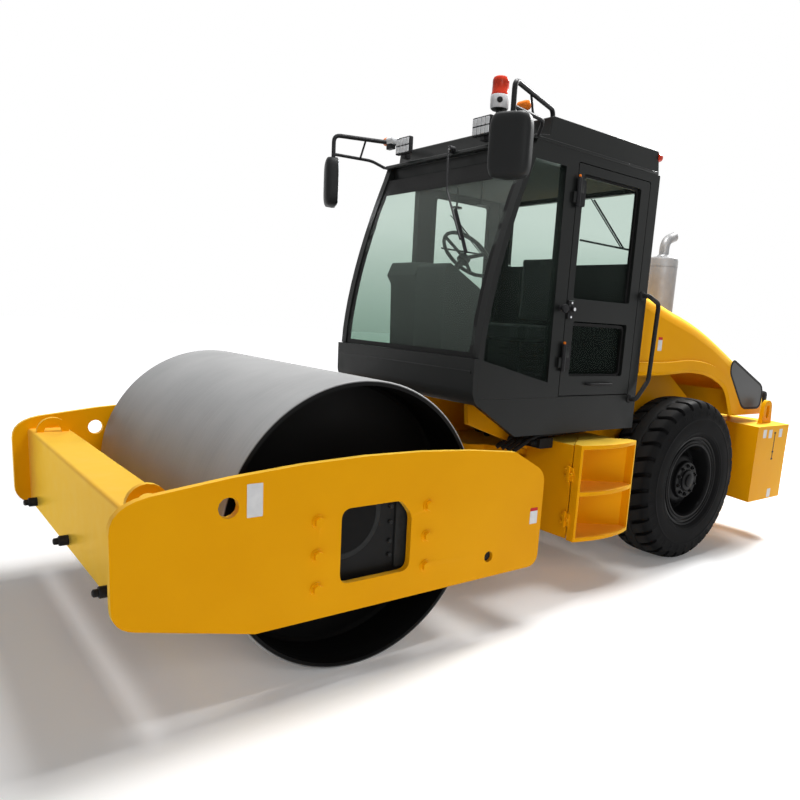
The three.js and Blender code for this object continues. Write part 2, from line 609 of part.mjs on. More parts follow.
// ---- Tanks and swinging steps ----------------------------------------------------------------------
// A tank on each side of the frame with a V-shaped recess. The step unit is a door over it, hinged at its
// rear edge, with two V-backed pockets between bulged treads.
const STEP_REAR_X = STEP_FRONT_X - STEP_LENGTH;
const STEP_HINGE_Y = STEP_OUTER - STEP_FLANGE;
const STEP_MIDDLE_X = STEP_FRONT_X - STEP_LENGTH / 2;
const STEP_HINGE_X = STEP_REAR_X + HINGE_RADIUS;
const STEP_AXIS_Y = STEP_HINGE_Y - 40;
const STEP_KNUCKLE = 60; // height
const STEP_KNUCKLES = [STEP_BOTTOM + 120, STEP_TOP - 180];
for (const [name, side] of SIDES) {
  const back = STEP_OUTER - STEP_DEPTH;
  const stepPlan = (inset, reach) => {
    const shape = new THREE.Shape();
    shape.moveTo(STEP_FRONT_X - inset, side * STEP_HINGE_Y);
    shape.lineTo(STEP_FRONT_X - inset, side * (STEP_OUTER + reach));
    shape.quadraticCurveTo(
      STEP_MIDDLE_X,
      side * (STEP_OUTER + 2 * STEP_BULGE + reach),
      STEP_REAR_X + inset,
      side * (STEP_OUTER + reach),
    );
    shape.lineTo(STEP_REAR_X + inset, side * STEP_HINGE_Y);
    shape.lineTo(STEP_MIDDLE_X, side * (back + inset));
    shape.closePath();
    return shape;
  };
  const middle = (STEP_BOTTOM + STEP_TOP) / 2;
  const axis = [STEP_HINGE_X, side * STEP_AXIS_Y];
  let step = slab("XY", stepPlan(0, 0), STEP_BOTTOM, STEP_TOP, 10);
  const pockets = [
    [STEP_BOTTOM + TREAD, middle - TREAD / 2],
    [middle + TREAD / 2, STEP_TOP - TREAD],
  ];
  for (const [low, high] of pockets)
    step = step.subtract(slab("XY", stepPlan(STEP_SHEET, 200), low, high, 10));
  for (const z of STEP_KNUCKLES) {
    const leafEnd = STEP_HINGE_X + 2;
    step = step.add(bar("Z", HINGE_RADIUS, z, z + STEP_KNUCKLE, axis, 16));
    step = step.add(sideBox(side, STEP_REAR_X, leafEnd, STEP_AXIS_Y, STEP_HINGE_Y, z, z + STEP_KNUCKLE));
  }
  add(`step_door_${name}`, step, yellowPaint);

  const tankOuter = STEP_HINGE_Y - 2 * MOVING_GAP;
  const tankRear = STEP_HINGE_X + HINGE_RADIUS + 2 * MOVING_GAP;
  const tankPlan = outline([
    [STEP_FRONT_X, side * (FRAME_OUTER + SEAT_GAP)],
    [STEP_FRONT_X, side * tankOuter],
    [STEP_FRONT_X - 8, side * tankOuter],
    [STEP_MIDDLE_X, side * (back - 2 * MOVING_GAP)],
    [tankRear, side * (tankOuter - 35)],
    [tankRear, side * (FRAME_OUTER + SEAT_GAP)],
  ]);
  let tank = slab("XY", tankPlan, STEP_BOTTOM + 10, STEP_TOP - 10);
  for (const hinge of STEP_KNUCKLES) {
    const z = hinge + STEP_KNUCKLE + SEAT_GAP;
    const leafFar = STEP_AXIS_Y - 10;
    tank = tank.add(bar("Z", HINGE_RADIUS, z, z + STEP_KNUCKLE, axis, 16));
    tank = tank.add(sideBox(side, STEP_HINGE_X, tankRear + 5, leafFar - 20, leafFar, z, z + STEP_KNUCKLE));
  }
  add(`tank_${name}`, tank, yellowPaint);
}

// ---- Rear axle and wheels --------------------------------------------------------------------------
const HUB_INNER_Y = TYRE_Y - 205;
{
  const centre = [AXLE_X, TYRE_RADIUS];
  const parts = [
    bar("Y", AXLE_RADIUS, -HUB_INNER_Y + MOVING_GAP, HUB_INNER_Y - MOVING_GAP, centre, 16),
    bar("Y", SPINDLE_RADIUS, -HUB_INNER_Y - 130, HUB_INNER_Y + 130, centre, 24),
    bar("Y", DIFFERENTIAL, -120, 120, centre, 20),
    bar("X", 90, AXLE_X, AXLE_X + DIFFERENTIAL + 120, [0, TYRE_RADIUS], 16),
  ];
  const padTop = TYRE_RADIUS + AXLE_CLEARANCE - SEAT_GAP;
  for (const side of [1, -1])
    parts.push(sideBox(side, AXLE_X - 110, AXLE_X + 110, FRAME_INNER - 20, FRAME_OUTER, TYRE_RADIUS, padTop));
  add("rear_axle", joined(...parts), blackPaint);
}

for (const [name, side] of SIDES) {
  const half = TYRE_WIDTH / 2;
  const place = [AXLE_X, side * TYRE_Y, TYRE_RADIUS];
  const rise = TYRE_RADIUS - BEAD_RADIUS;
  const shoulder = [
    [BEAD_RADIUS, 0.76 * half],
    [BEAD_RADIUS + 0.3 * rise, 0.97 * half],
    [BEAD_RADIUS + 0.7 * rise, half],
    [BEAD_RADIUS + 0.93 * rise, 0.86 * half],
    [TYRE_RADIUS, 0.62 * half],
  ];
  const mirrored = shoulder.map(([r, y]) => [r, -y]).reverse();
  add(`tyre_${name}`, turned([...mirrored, ...shoulder].reverse(), place, 32), tyreRubber);

  // the rim: a barrel with flanges either side of the tyre, a dished disc and a hub bored for the spindle
  const bore = SPINDLE_RADIUS + PIN_GAP;
  const seat = BEAD_RADIUS - SEAT_GAP;
  const y = (outward) => side * outward;
  const hubInner = HUB_INNER_Y - TYRE_Y;
  const rim = [
    [bore, y(hubInner)],
    [200, y(hubInner)],
    [200, y(hubInner + 60)],
    [140, y(0)],
    [seat - 30, y(30)],
    [seat - 30, y(-165)],
    [seat, y(-165)],
    [seat, y(170)],
    [seat - 15, y(190)],
    [seat - 45, y(120)],
    [200, y(60)],
    [180, y(110)],
    [100, y(150)],
    [0, y(150)],
    [0, y(hubInner + 150)],
    [bore, y(hubInner + 150)],
  ];
  add(`rim_${name}`, turned(side > 0 ? rim : rim.reverse(), place, 32), blackPaint);
}

// ---- Engine ----------------------------------------------------------------------------------------
add("engine_block", box(AXLE_X - 450, AXLE_X + 520, -330, 330, DECK_Z + SEAT_GAP, 1690), blackPaint);

// ---- Hood ------------------------------------------------------------------------------------------
// A one-piece shell with rounded shoulders and wheel arches, hinged at its rear lower corners. The muffler
// stands on it.
const HOOD_CREST_Z = 2250; // height of the hood at the cab
const HOOD_NOSE_Z = 1617; // underside of the hood in front of the wheel arch
const HOOD_SHOULDER = 120; // rounding of the shoulders
const ARCH_TOP_Z = 1630;

// The hood from the side, drawn in by an inset. It runs past its front face and its skirt, which are cut off.
function hoodOutline(inset) {
  const spare = 2 * HOOD_SHOULDER;
  const crest = HOOD_CREST_Z - inset;
  const rear = HOOD_REAR_X + inset;
  const shape = new THREE.Shape();
  shape.moveTo(HOOD_FRONT_X + spare, HOOD_SKIRT_Z - spare);
  shape.lineTo(HOOD_FRONT_X + spare, crest + 55);
  shape.lineTo(HOOD_FRONT_X, crest);
  shape.quadraticCurveTo(HOOD_FRONT_X - 260, crest - 60, HOOD_FRONT_X - 470, crest - 125);
  shape.quadraticCurveTo(HOOD_FRONT_X - 900, crest - 215, HOOD_FRONT_X - 1300, crest - 395);
  shape.lineTo(rear + 190, crest - 725);
  shape.quadraticCurveTo(rear, crest - 800, rear, crest - 950);
  shape.lineTo(rear, HOOD_SKIRT_Z - spare);
  shape.closePath();
  return shape;
}

// What is cut from under the hood: the wheel arch, and the space below the nose and the skirt.
function hoodUnderside(inset) {
  const rear = AXLE_X - 976 - inset;
  const front = AXLE_X + 254 - inset;
  const arch = ARCH_TOP_Z - inset;
  const low = HOOD_SKIRT_Z - 3 * HOOD_SHOULDER;
  const shape = new THREE.Shape();
  shape.moveTo(HOOD_REAR_X - 100, low);
  shape.lineTo(0, low);
  shape.lineTo(0, HOOD_NOSE_Z - inset);
  shape.lineTo(front, HOOD_NOSE_Z - inset);
  shape.lineTo(front, arch);
  shape.quadraticCurveTo(rear + 900, arch + 35, rear + 560, arch);
  shape.quadraticCurveTo(rear + 190, arch - 30, rear, HOOD_SKIRT_Z - inset);
  shape.lineTo(HOOD_REAR_X - 100, HOOD_SKIRT_Z - inset);
  shape.closePath();
  return shape;
}

function hoodBody(inset) {
  const half = HOOD_HALF_WIDTH - inset;
  const whole = slab("XZ", hoodOutline(inset), -half, half, 5, HOOD_SHOULDER - inset);
  const beyond = HOOD_HALF_WIDTH + 50;
  const front = HOOD_FRONT_X + 3 * HOOD_SHOULDER;
  const ahead = box(HOOD_FRONT_X + inset, front, -beyond, beyond, 0, HOOD_CREST_Z + 200);
  return whole.subtract(ahead).subtract(slab("XZ", hoodUnderside(inset), -beyond, beyond, 5));
}

{
  let hood = hoodBody(0).subtract(hoodBody(HOOD_WALL));
  const centre = [HOOD_HINGE_X, HOOD_HINGE_Z];
  const lugRadius = HOOD_EAR_HALF + 2;
  const low = HOOD_HINGE_Z - lugRadius;
  const high = HOOD_HINGE_Z + lugRadius;
  for (const side of [1, -1]) {
    const near = HOOD_EAR_Y + MOVING_GAP;
    const far = near + HOOD_EAR;
    const leaf = sideBox(side, HOOD_HINGE_X, HOOD_REAR_X + 5, near, far, low, high);
    hood = hood
      .add(bar("Y", lugRadius, side * near, side * far, centre, 20))
      .add(leaf)
      .subtract(bar("Y", HOOD_PIN + PIN_GAP, side * (near - 5), side * (far + 5), centre, 20));
  }
  add("hood", hood, yellowPaint);
}

{
  const x = AXLE_X - 340;
  const y = 200;
  const body = bar("Z", MUFFLER_RADIUS, 1800, MUFFLER_TOP, [x, y], 20);
  const cap = bar("Z", MUFFLER_RADIUS - 40, MUFFLER_TOP - 5, MUFFLER_TOP + 25, [x, y], 20);
  const bend = [
    [x, y, MUFFLER_TOP],
    [x, y, MUFFLER_TOP + 150],
    [x - 130, y, MUFFLER_TOP + 205],
  ];
  const stack = tube(bend, STACK_RADIUS, 70, 10);
  const cut = hoodBody(0).translate([0, 0, SEAT_GAP]);
  const filled = hoodBody(HOOD_WALL);
  add("muffler", joined(body, cap, stack).subtract(cut).subtract(filled), mufflerMetal);
}

// ---- Cab -------------------------------------------------------------------------------------------
const cabX = (forward) => CAB_X + forward;
const FRAME_IN = CAB_HALF_WIDTH - SIDE_FRAME;
const PILLAR_FOOT = [CAB_FRONT - 30, SILL_Z + 3];
const PILLAR_BEND = [CAB_FRONT - 60, 2226];
const PILLAR_HEAD = [CAB_FRONT - 370, 2995];

// The tub: a floor with skirts all round it and the panel under the windscreen.
{
  const outer = outline([
    [cabX(0), CAB_BOTTOM],
    [cabX(1310), CAB_BOTTOM],
    [cabX(CAB_FRONT - 30), 1413, 25],
    [cabX(CAB_FRONT), 1480, 25],
    [cabX(CAB_FRONT), SILL_Z],
    [cabX(CAB_FRONT - CAB_SHEET), SILL_Z],
    [cabX(CAB_FRONT - CAB_SHEET), CAB_FLOOR],
    [cabX(0), CAB_FLOOR],
  ]);
  const inside = CAB_HALF_WIDTH - CAB_SHEET;
  const floorUnder = CAB_FLOOR - CAB_FLOOR_PLATE;
  const under = box(cabX(CAB_SHEET), cabX(CAB_FRONT + 10), -inside, inside, CAB_BOTTOM - 10, floorUnder);
  const tub = slab("XZ", outer, -CAB_HALF_WIDTH, CAB_HALF_WIDTH).subtract(under);
  add("cab_tub", tub, charcoalPaint);
}

const DOOR_HINGE = DOOR_FRONT + MOVING_GAP;
const DOOR_HINGE_Y = CAB_HALF_WIDTH + HINGE_RADIUS + MOVING_GAP;
const HINGE_HEIGHTS = [DOOR_BOTTOM + 200, DOOR_TOP - 260];
const KNUCKLE = 70; // height of a hinge knuckle

// The side frames: curved windscreen pillar, quarter window, door post, door opening and rear post.
const DOOR_POST = 125; // width between the door and the quarter window
const PILLAR_DEPTH = 45; // windscreen pillar, front to back
const WINDOW_TOP = 2965;
for (const [name, side] of SIDES) {
  const shape = new THREE.Shape();
  const x = cabX;
  const noseX = CAB_FRONT - CAB_SHEET - SEAT_GAP;
  shape.moveTo(x(0), CAB_FLOOR + SEAT_GAP);
  shape.lineTo(x(noseX), CAB_FLOOR + SEAT_GAP);
  shape.lineTo(x(noseX), PILLAR_FOOT[1]);
  shape.lineTo(x(PILLAR_FOOT[0]), PILLAR_FOOT[1]);
  shape.quadraticCurveTo(x(PILLAR_BEND[0]), PILLAR_BEND[1], x(PILLAR_HEAD[0]), PILLAR_HEAD[1]);
  shape.lineTo(x(PILLAR_HEAD[0] - 30), HEADER_Z);
  shape.lineTo(x(0), HEADER_Z);
  shape.closePath();
  const gap = MOVING_GAP;
  const opening = outline([
    [x(DOOR_REAR - gap), DOOR_BOTTOM - gap],
    [x(DOOR_FRONT + gap), DOOR_BOTTOM - gap],
    [x(DOOR_FRONT + gap), DOOR_TOP + gap, 20],
    [x(DOOR_REAR - gap), DOOR_TOP + gap, 20],
  ]);
  shape.holes.push(opening, quarterWindow(0));
  let frame = sideSlab(side, shape, FRAME_IN, CAB_HALF_WIDTH, 10);
  const leafEnd = x(DOOR_HINGE + 45);
  for (const z of HINGE_HEIGHTS) {
    const top = z + KNUCKLE;
    frame = frame.add(bar("Z", HINGE_RADIUS, z, top, [x(DOOR_HINGE), side * DOOR_HINGE_Y], 12));
    frame = frame.add(sideBox(side, x(DOOR_HINGE), leafEnd, CAB_HALF_WIDTH - 2, DOOR_HINGE_Y, z, top));
  }
  add(`cab_side_${name}`, frame, charcoalPaint);
}

// The quarter window's outline, drawn in by an inset: its front edge follows the windscreen pillar.
function quarterWindow(inset) {
  const rear = cabX(DOOR_FRONT + DOOR_POST + inset);
  const top = WINDOW_TOP - inset;
  const front = (along) => cabX(along - PILLAR_DEPTH - inset);
  const shape = new THREE.Shape();
  shape.moveTo(rear, DOOR_BOTTOM + 95 + inset);
  shape.lineTo(front(PILLAR_FOOT[0]), SILL_Z - 10 + inset);
  shape.quadraticCurveTo(front(PILLAR_BEND[0]), PILLAR_BEND[1], front(PILLAR_HEAD[0] + 14), top);
  shape.lineTo(rear, top);
  shape.closePath();
  return shape;
}

for (const [name, side] of SIDES) {
  const outside = CAB_HALF_WIDTH - 20;
  const pane = sideSlab(side, quarterWindow(SEAT_GAP), outside - GLASS, outside, 10);
  add(`quarter_glass_${name}`, pane, tintedGlass);
}

// The windscreen: a curved pane between the pillars, following their front edge.
{
  const curved = (inset) => [
    new THREE.Vector2(cabX(PILLAR_FOOT[0] - inset), PILLAR_FOOT[1]),
    new THREE.Vector2(cabX(PILLAR_BEND[0] - inset), PILLAR_BEND[1]),
    new THREE.Vector2(cabX(PILLAR_HEAD[0] - inset), PILLAR_HEAD[1] - 10),
  ];
  const [outerFoot, outerBend, outerHead] = curved(12);
  const [innerFoot, innerBend, innerHead] = curved(12 + GLASS);
  const shape = new THREE.Shape();
  shape.moveTo(outerFoot.x, SILL_Z + SEAT_GAP);
  shape.lineTo(outerFoot.x, outerFoot.y);
  shape.quadraticCurveTo(outerBend.x, outerBend.y, outerHead.x, outerHead.y);
  shape.lineTo(innerHead.x, innerHead.y);
  shape.quadraticCurveTo(innerBend.x, innerBend.y, innerFoot.x, innerFoot.y);
  shape.lineTo(innerFoot.x, SILL_Z + SEAT_GAP);
  shape.closePath();
  add("windscreen", slab("XZ", shape, SEAT_GAP - FRAME_IN, FRAME_IN - SEAT_GAP, 14), tintedGlass);
}

// The rear panel with its window.
const REAR_WINDOW = { half: 690, low: 2440, high: WINDOW_TOP };
{
  const half = FRAME_IN - SEAT_GAP;
  const panel = outline([
    [-half, CAB_FLOOR + SEAT_GAP],
    [half, CAB_FLOOR + SEAT_GAP],
    [half, HEADER_Z],
    [-half, HEADER_Z],
  ]);
  const window = (inset) =>
    outline([
      [-REAR_WINDOW.half + inset, REAR_WINDOW.low + inset, 40],
      [REAR_WINDOW.half - inset, REAR_WINDOW.low + inset, 40],
      [REAR_WINDOW.half - inset, REAR_WINDOW.high - inset, 40],
      [-REAR_WINDOW.half + inset, REAR_WINDOW.high - inset, 40],
    ]);
  panel.holes.push(window(0));
  add("cab_rear_panel", slab("YZ", panel, cabX(0), cabX(CAB_SHEET)), charcoalPaint);
  add("rear_glass", slab("YZ", window(SEAT_GAP), cabX(15), cabX(15 + GLASS)), tintedGlass);
}

// The roof: a tray over the whole cab with a header above the windscreen.
{
  const low = HEADER_Z + SEAT_GAP;
  const outer = outline([
    [cabX(20), low],
    [cabX(CAB_FRONT - 372), low],
    [cabX(CAB_FRONT - 380), low + 25],
    [cabX(1210), low + 45],
    [cabX(1195), ROOF_TOP, 15],
    [cabX(50), ROOF_TOP, 15],
  ]);
  const inner = CAB_HALF_WIDTH - SIDE_FRAME - 20;
  const span = FRAME_IN - SEAT_GAP;
  const headerX = cabX(CAB_FRONT - 460);
  const header = box(headerX, headerX + 30, -span, span, PILLAR_HEAD[1] + 5, low + 5);
  const roof = slab("XZ", outer, -CAB_HALF_WIDTH, CAB_HALF_WIDTH)
    .subtract(box(cabX(90), cabX(1160), -inner, inner, low - 10, ROOF_TOP - 40))
    .add(header);
  add("cab_roof", roof, charcoalPaint);
}

// The doors: a frame with two windows and one pane behind them both, hinged on its front edge.
for (const [name, side] of SIDES) {
  const x = cabX;
  const face = CAB_HALF_WIDTH;
  const shape = outline([
    [x(DOOR_REAR), DOOR_BOTTOM],
    [x(DOOR_FRONT), DOOR_BOTTOM],
    [x(DOOR_FRONT), DOOR_TOP, 20],
    [x(DOOR_REAR), DOOR_TOP, 20],
  ]);
  const [rear, front] = [DOOR_REAR + 100, DOOR_FRONT - 60];
  shape.holes.push(
    outline([[x(rear), 2130, 20], [x(front), 2130, 20], [x(front), 2950, 20], [x(rear), 2950, 20]]),
    outline([[x(rear), 1590, 20], [x(front - 25), 1590, 20], [x(front - 25), 1975, 20], [x(rear), 1975, 20]]),
  );
  let door = sideSlab(side, shape, face - DOOR_THICKNESS, face);
  const leafEnd = x(DOOR_HINGE) - 1;
  for (const hinge of HINGE_HEIGHTS) {
    const z = hinge + KNUCKLE + SEAT_GAP;
    const top = z + KNUCKLE;
    door = door.add(bar("Z", HINGE_RADIUS, z, top, [x(DOOR_HINGE), side * DOOR_HINGE_Y], 12));
    door = door.add(sideBox(side, x(DOOR_FRONT - 45), leafEnd, face - 2, DOOR_HINGE_Y, z, top));
  }
  add(`door_${name}`, door, charcoalPaint);
  const outside = face - DOOR_THICKNESS - SEAT_GAP;
  const pane = sideBox(side, x(rear - 30), x(front + 30), outside - GLASS, outside, 1560, 2980);
  add(`door_glass_${name}`, pane, tintedGlass);
}

// ---- Inside the cab --------------------------------------------------------------------------------
{
  const desk = outline([
    [cabX(1455), CAB_FLOOR + SEAT_GAP],
    [cabX(1480), 2175],
    [cabX(1520), 2235],
    [cabX(1475), 2335, 15],
    [cabX(1150), 2335, 30],
    [cabX(960), 2150],
    [cabX(960), 2080],
    [cabX(1180), 2060],
    [cabX(1220), CAB_FLOOR + SEAT_GAP],
  ]);
  add("console", slab("XZ", desk, -480, -120), blackPaint);
}

// Steering wheel, tilted towards the driver, with its hub below the rim, on a column that enters a pedestal.
const WHEEL_RADIUS = 218;
{
  const tilt = 0.73;
  const tubeRadius = 14;
  const dish = 38; // rim down to the hub
  const column = 260; // hub down to the pedestal
  const parts = [
    solid(new THREE.TorusGeometry(WHEEL_RADIUS - tubeRadius, tubeRadius, 6, 22)),
    bar("Z", 45, -dish - 30, -dish + 12, [0, 0], 20),
    bar("Z", 24, -dish - column, -dish, [0, 0], 16),
  ];
  for (const turn of [0, 2, 4]) {
    const spoke = new THREE.BoxGeometry(WHEEL_RADIUS - 15, 26, 12);
    spoke.rotateY(-Math.atan2(dish, WHEEL_RADIUS)).translate(WHEEL_RADIUS / 2 - 5, 0, -dish / 2);
    parts.push(solid(spoke.rotateZ((turn * Math.PI) / 3 + Math.PI / 2)));
  }
  const place = new THREE.Matrix4().makeRotationY(-tilt).setPosition(cabX(1260), 155, 2400);
  const pedestal = box(cabX(1370), cabX(1500), 95, 215, CAB_FLOOR + SEAT_GAP, 2230);
  add("steering_column", joined(...parts).transform(place.elements).add(pedestal), blackPaint);
}

// The seat: a sprung base, a cushion and a backrest.
const SEAT_X = 480; // middle of the cushion, from the cab's rear
const SEAT_TOP = 1930;
const CUSHION = 130;
{
  const half = 250;
  const under = SEAT_TOP - CUSHION - SEAT_GAP;
  const seatX = (forward) => cabX(SEAT_X + forward);
  const base = box(seatX(-200), seatX(200), -180, 180, CAB_FLOOR + SEAT_GAP, under);
  const bracket = box(seatX(-285), seatX(-255), -120, 120, under - 60, SEAT_TOP + 380);
  const link = box(seatX(-270), seatX(-190), -120, 120, under - 60, under);
  add("seat_base", joined(base, bracket, link), blackPaint);
  const cushion = outline([
    [seatX(-half), -half, 50],
    [seatX(half), -half, 50],
    [seatX(half), half, 50],
    [seatX(-half), half, 50],
  ]);
  add("seat_cushion", slab("XY", cushion, SEAT_TOP - CUSHION, SEAT_TOP), seatFabric);
  const rear = seatX(-255 + SEAT_GAP);
  const back = outline([
    [rear, SEAT_TOP + 15],
    [rear + 120, SEAT_TOP + 15, 30],
    [rear + 120, SEAT_TOP + 560, 40],
    [rear, SEAT_TOP + 560, 40],
  ]);
  add("seat_back", slab("XZ", back, -230, 230), seatFabric);
}

// ---- On the outside of the cab ---------------------------------------------------------------------
// The beacon on a flat bracket that reaches ahead of the roof.
{
  const [x, y] = [cabX(1255), 380];
  const bracket = box(x - 150, x + 45, y - 45, y + 45, ROOF_TOP + SEAT_GAP, ROOF_TOP + 12);
  const post = bar("Z", 22, ROOF_TOP + 5, BEACON_TOP - 180, [x, y], 16);
  const base = bar("Z", BEACON_RADIUS, BEACON_TOP - 190, BEACON_TOP - 105, [x, y], 20);
  const dome = bar("Z", BEACON_RADIUS - 5, BEACON_TOP - 110, BEACON_TOP, [x, y], 20);
  add("beacon", joined(bracket, post, base, dome), beaconRed);
}

for (const [name, side] of SIDES) {
  const at = (forward, out, z) => [cabX(forward), side * out, z];
  const wall = CAB_HALF_WIDTH + SEAT_GAP;

  // Mirror: a rounded housing on a double tubular arm from the roof and the windscreen pillar.
  const housing = outline([
    [-60, -112, 45],
    [60, -112, 45],
    [60, 112, 45],
    [-60, 112, 45],
  ]);
  const headX = 1715;
  const headY = 1005;
  const headZ = 2935;
  const headHalf = 172;
  const armZ = ROOF_TOP + 50;
  const turn = new THREE.Matrix4().makeRotationZ(side * 0.45).setPosition(cabX(headX), side * headY, headZ);
  const head = slab("XY", housing, -headHalf, headHalf).transform(turn.elements);
  const upper = [
    at(1150, 780, ROOF_TOP + SEAT_GAP),
    at(1150, 780, armZ),
    at(headX, headY, armZ),
    at(headX, headY, headZ + headHalf - 35),
  ];
  const lower = [
    at(1335, CAB_HALF_WIDTH + 16, HEADER_Z + 15),
    at(1400, headY - 60, HEADER_Z + 70),
    at(headX + 3, headY - 2, headZ + headHalf + 42),
  ];
  const arms = [tube(upper, TUBE_RADIUS, 50), tube(lower, TUBE_RADIUS - 4, 40)];
  add(`mirror_${name}`, joined(head, ...arms), charcoalPaint);

  // Handrail behind the door.
  const railY = CAB_HALF_WIDTH + 65;
  const rail = [
    at(60, wall, 2200),
    at(60, railY, 2200),
    at(-85, railY, 2150),
    at(-60, railY, 1560),
    at(80, railY, 1405),
    at(80, wall, 1405),
  ];
  add(`handrail_${name}`, tube(rail, TUBE_RADIUS, 30), blackPaint);
}

export default roller;
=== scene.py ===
# Finish of a single-drum articulated road roller with a cab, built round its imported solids.
# X points forward to the drum, Y to the machine's left, Z up; metres; the ground is at zero.
from math import cos, pi, radians, sin

import bmesh
import bpy
import numpy as np
from mathutils import Matrix, Vector


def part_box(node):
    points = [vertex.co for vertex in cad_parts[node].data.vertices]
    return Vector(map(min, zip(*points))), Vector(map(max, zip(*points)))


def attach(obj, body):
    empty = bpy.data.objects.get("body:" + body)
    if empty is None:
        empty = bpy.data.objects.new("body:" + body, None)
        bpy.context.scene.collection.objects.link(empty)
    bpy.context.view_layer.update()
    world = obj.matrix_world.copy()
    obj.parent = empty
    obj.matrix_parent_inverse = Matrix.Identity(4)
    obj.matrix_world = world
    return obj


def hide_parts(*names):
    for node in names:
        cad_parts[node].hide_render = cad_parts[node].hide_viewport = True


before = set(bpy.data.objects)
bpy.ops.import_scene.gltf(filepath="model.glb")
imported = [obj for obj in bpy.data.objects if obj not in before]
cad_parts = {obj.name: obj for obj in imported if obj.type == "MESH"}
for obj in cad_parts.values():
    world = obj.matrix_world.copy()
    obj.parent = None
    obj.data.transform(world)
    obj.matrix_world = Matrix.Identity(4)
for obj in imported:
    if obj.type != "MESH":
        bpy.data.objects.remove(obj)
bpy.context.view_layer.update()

# ---- Camera ----
# It stands ahead of the machine's left front corner at shoulder height and looks back along the machine. Turn,
# dip and roll are in radians.
CAMERA_PLACE = Vector((3.908, 4.153, 1.937))
CAMERA_TURN, CAMERA_DIP, CAMERA_ROLL = -2.265, 0.191, -0.063
LENS_MM, SENSOR_MM, SHIFT_X, SHIFT_Y, CLIP_END = 31.65, 36, -0.0556, 0.0686, 200


def stood(name, data):
    """An object of the data, linked into the scene."""
    made = bpy.data.objects.new(name, data)
    bpy.context.scene.collection.objects.link(made)
    return made


sight = Vector((cos(CAMERA_TURN) * cos(CAMERA_DIP), sin(CAMERA_TURN) * cos(CAMERA_DIP), -sin(CAMERA_DIP)))
level = Vector((sin(CAMERA_TURN), -cos(CAMERA_TURN), 0))
below = sight.cross(level)
across = cos(CAMERA_ROLL) * level + sin(CAMERA_ROLL) * below
upward = sin(CAMERA_ROLL) * level - cos(CAMERA_ROLL) * below
camera_data = bpy.data.cameras.new("camera")
camera_data.lens, camera_data.sensor_width, camera_data.clip_end = LENS_MM, SENSOR_MM, CLIP_END
camera_data.shift_x, camera_data.shift_y = SHIFT_X, SHIFT_Y
camera = stood("camera", camera_data)
camera.matrix_world = Matrix.Translation(CAMERA_PLACE) @ Matrix((across, upward, -sight)).transposed().to_4x4()
bpy.context.scene.camera = camera

# ---- Studio ----
# A plain white floor that runs out to a white surround, with broad soft lamps from above and both sides.
# The white of the surround is only for the eye, mirrors and glass; the lamps alone light the machine.
bpy.context.scene.view_settings.view_transform = "Standard"
WHITE = (1, 1, 1)
SKY_COLOUR, SKY_LIGHT = (0.94, 0.97, 1), 0.15
FLOOR_HALF, FLOOR_COLOUR, FLOOR_ROUGHNESS, FLOOR_SHINE = 60.0, (0.93, 0.93, 0.93), 0.9, 0.1
# the floor glows faintly near the machine and fully past the second distance
FLOOR_GLOW, FLOOR_FADE = 0.10, (4.5, 9.0)
LAMPS = [
    # name, place, aimed at, width, watts
    ("lamp_over", (0.1, 0.5, 6.6), (2.1, 0.1, 0.8), 2.2, 390),
    ("lamp_rear", (-8.5, -0.5, 8.5), (1.0, 0, 0), 2.2, 1400),
    ("lamp_left", (4.4, 8.4, 4.8), (0, 0, 1.2), 3.2, 172),
    ("lamp_front", (8.5, 2.0, 3.6), (0.5, 0, 1.0), 3.0, 14),
]


def feed(tree, made, inputs):
    """Each named input of a node is linked when its value is a socket and set when it is a plain value."""
    for key, value in inputs.items():
        socket = made.inputs[key]
        if isinstance(value, bpy.types.NodeSocket):
            tree.links.new(value, socket)
        else:
            socket.default_value = (*value, 1) if socket.type == "RGBA" else value


def node(tree, kind, inputs={}, **settings):
    """A new shader node of a kind, with its settings and its inputs."""
    made = tree.nodes.new("ShaderNode" + kind)
    for key, value in settings.items():
        setattr(made, key, value)
    feed(tree, made, inputs)
    return made


def place_of(tree):
    """The piece's own coordinates in metres."""
    return node(tree, "TexCoord").outputs["Object"]


def spread(tree, value, low, high, start=0.3, end=0.7):
    """A value between start and end brought to low at start and high at end."""
    ends = {"Value": value, "From Min": start, "From Max": end, "To Min": low, "To Max": high}
    return node(tree, "MapRange", ends).outputs["Result"]


def finish_nodes(name):
    """A new node material: the material, its node tree and its Principled shader."""
    made = bpy.data.materials.new(name)
    made.use_nodes = True
    return made, made.node_tree, made.node_tree.nodes["Principled BSDF"]


def seen_rays(tree):
    """One for camera, glossy and transmission rays, and zero for every other ray."""
    path = node(tree, "LightPath").outputs
    either = node(tree, "Math", {0: path["Is Camera Ray"], 1: path["Is Glossy Ray"]}, operation="MAXIMUM")
    third = {0: either.outputs[0], 1: path["Is Transmission Ray"]}
    return node(tree, "Math", third, operation="MAXIMUM").outputs[0]


world = bpy.data.worlds.new("surround")
world.use_nodes = True
tree = world.node_tree
tree.nodes.clear()
grey = node(tree, "Background", {"Color": SKY_COLOUR, "Strength": SKY_LIGHT})
white = node(tree, "Background", {"Color": WHITE})
shown = node(tree, "MixShader", {0: seen_rays(tree), 1: grey.outputs[0], 2: white.outputs[0]})
node(tree, "OutputWorld", {"Surface": shown.outputs[0]})
bpy.context.scene.world = world

for name, place, aim, width, watts in LAMPS:
    lamp_data = bpy.data.lights.new(name, "AREA")
    lamp_data.size, lamp_data.energy = width, watts
    aim_turn = (Vector(aim) - Vector(place)).to_track_quat("-Z", "Y").to_matrix().to_4x4()
    stood(name, lamp_data).matrix_world = Matrix.Translation(place) @ aim_turn

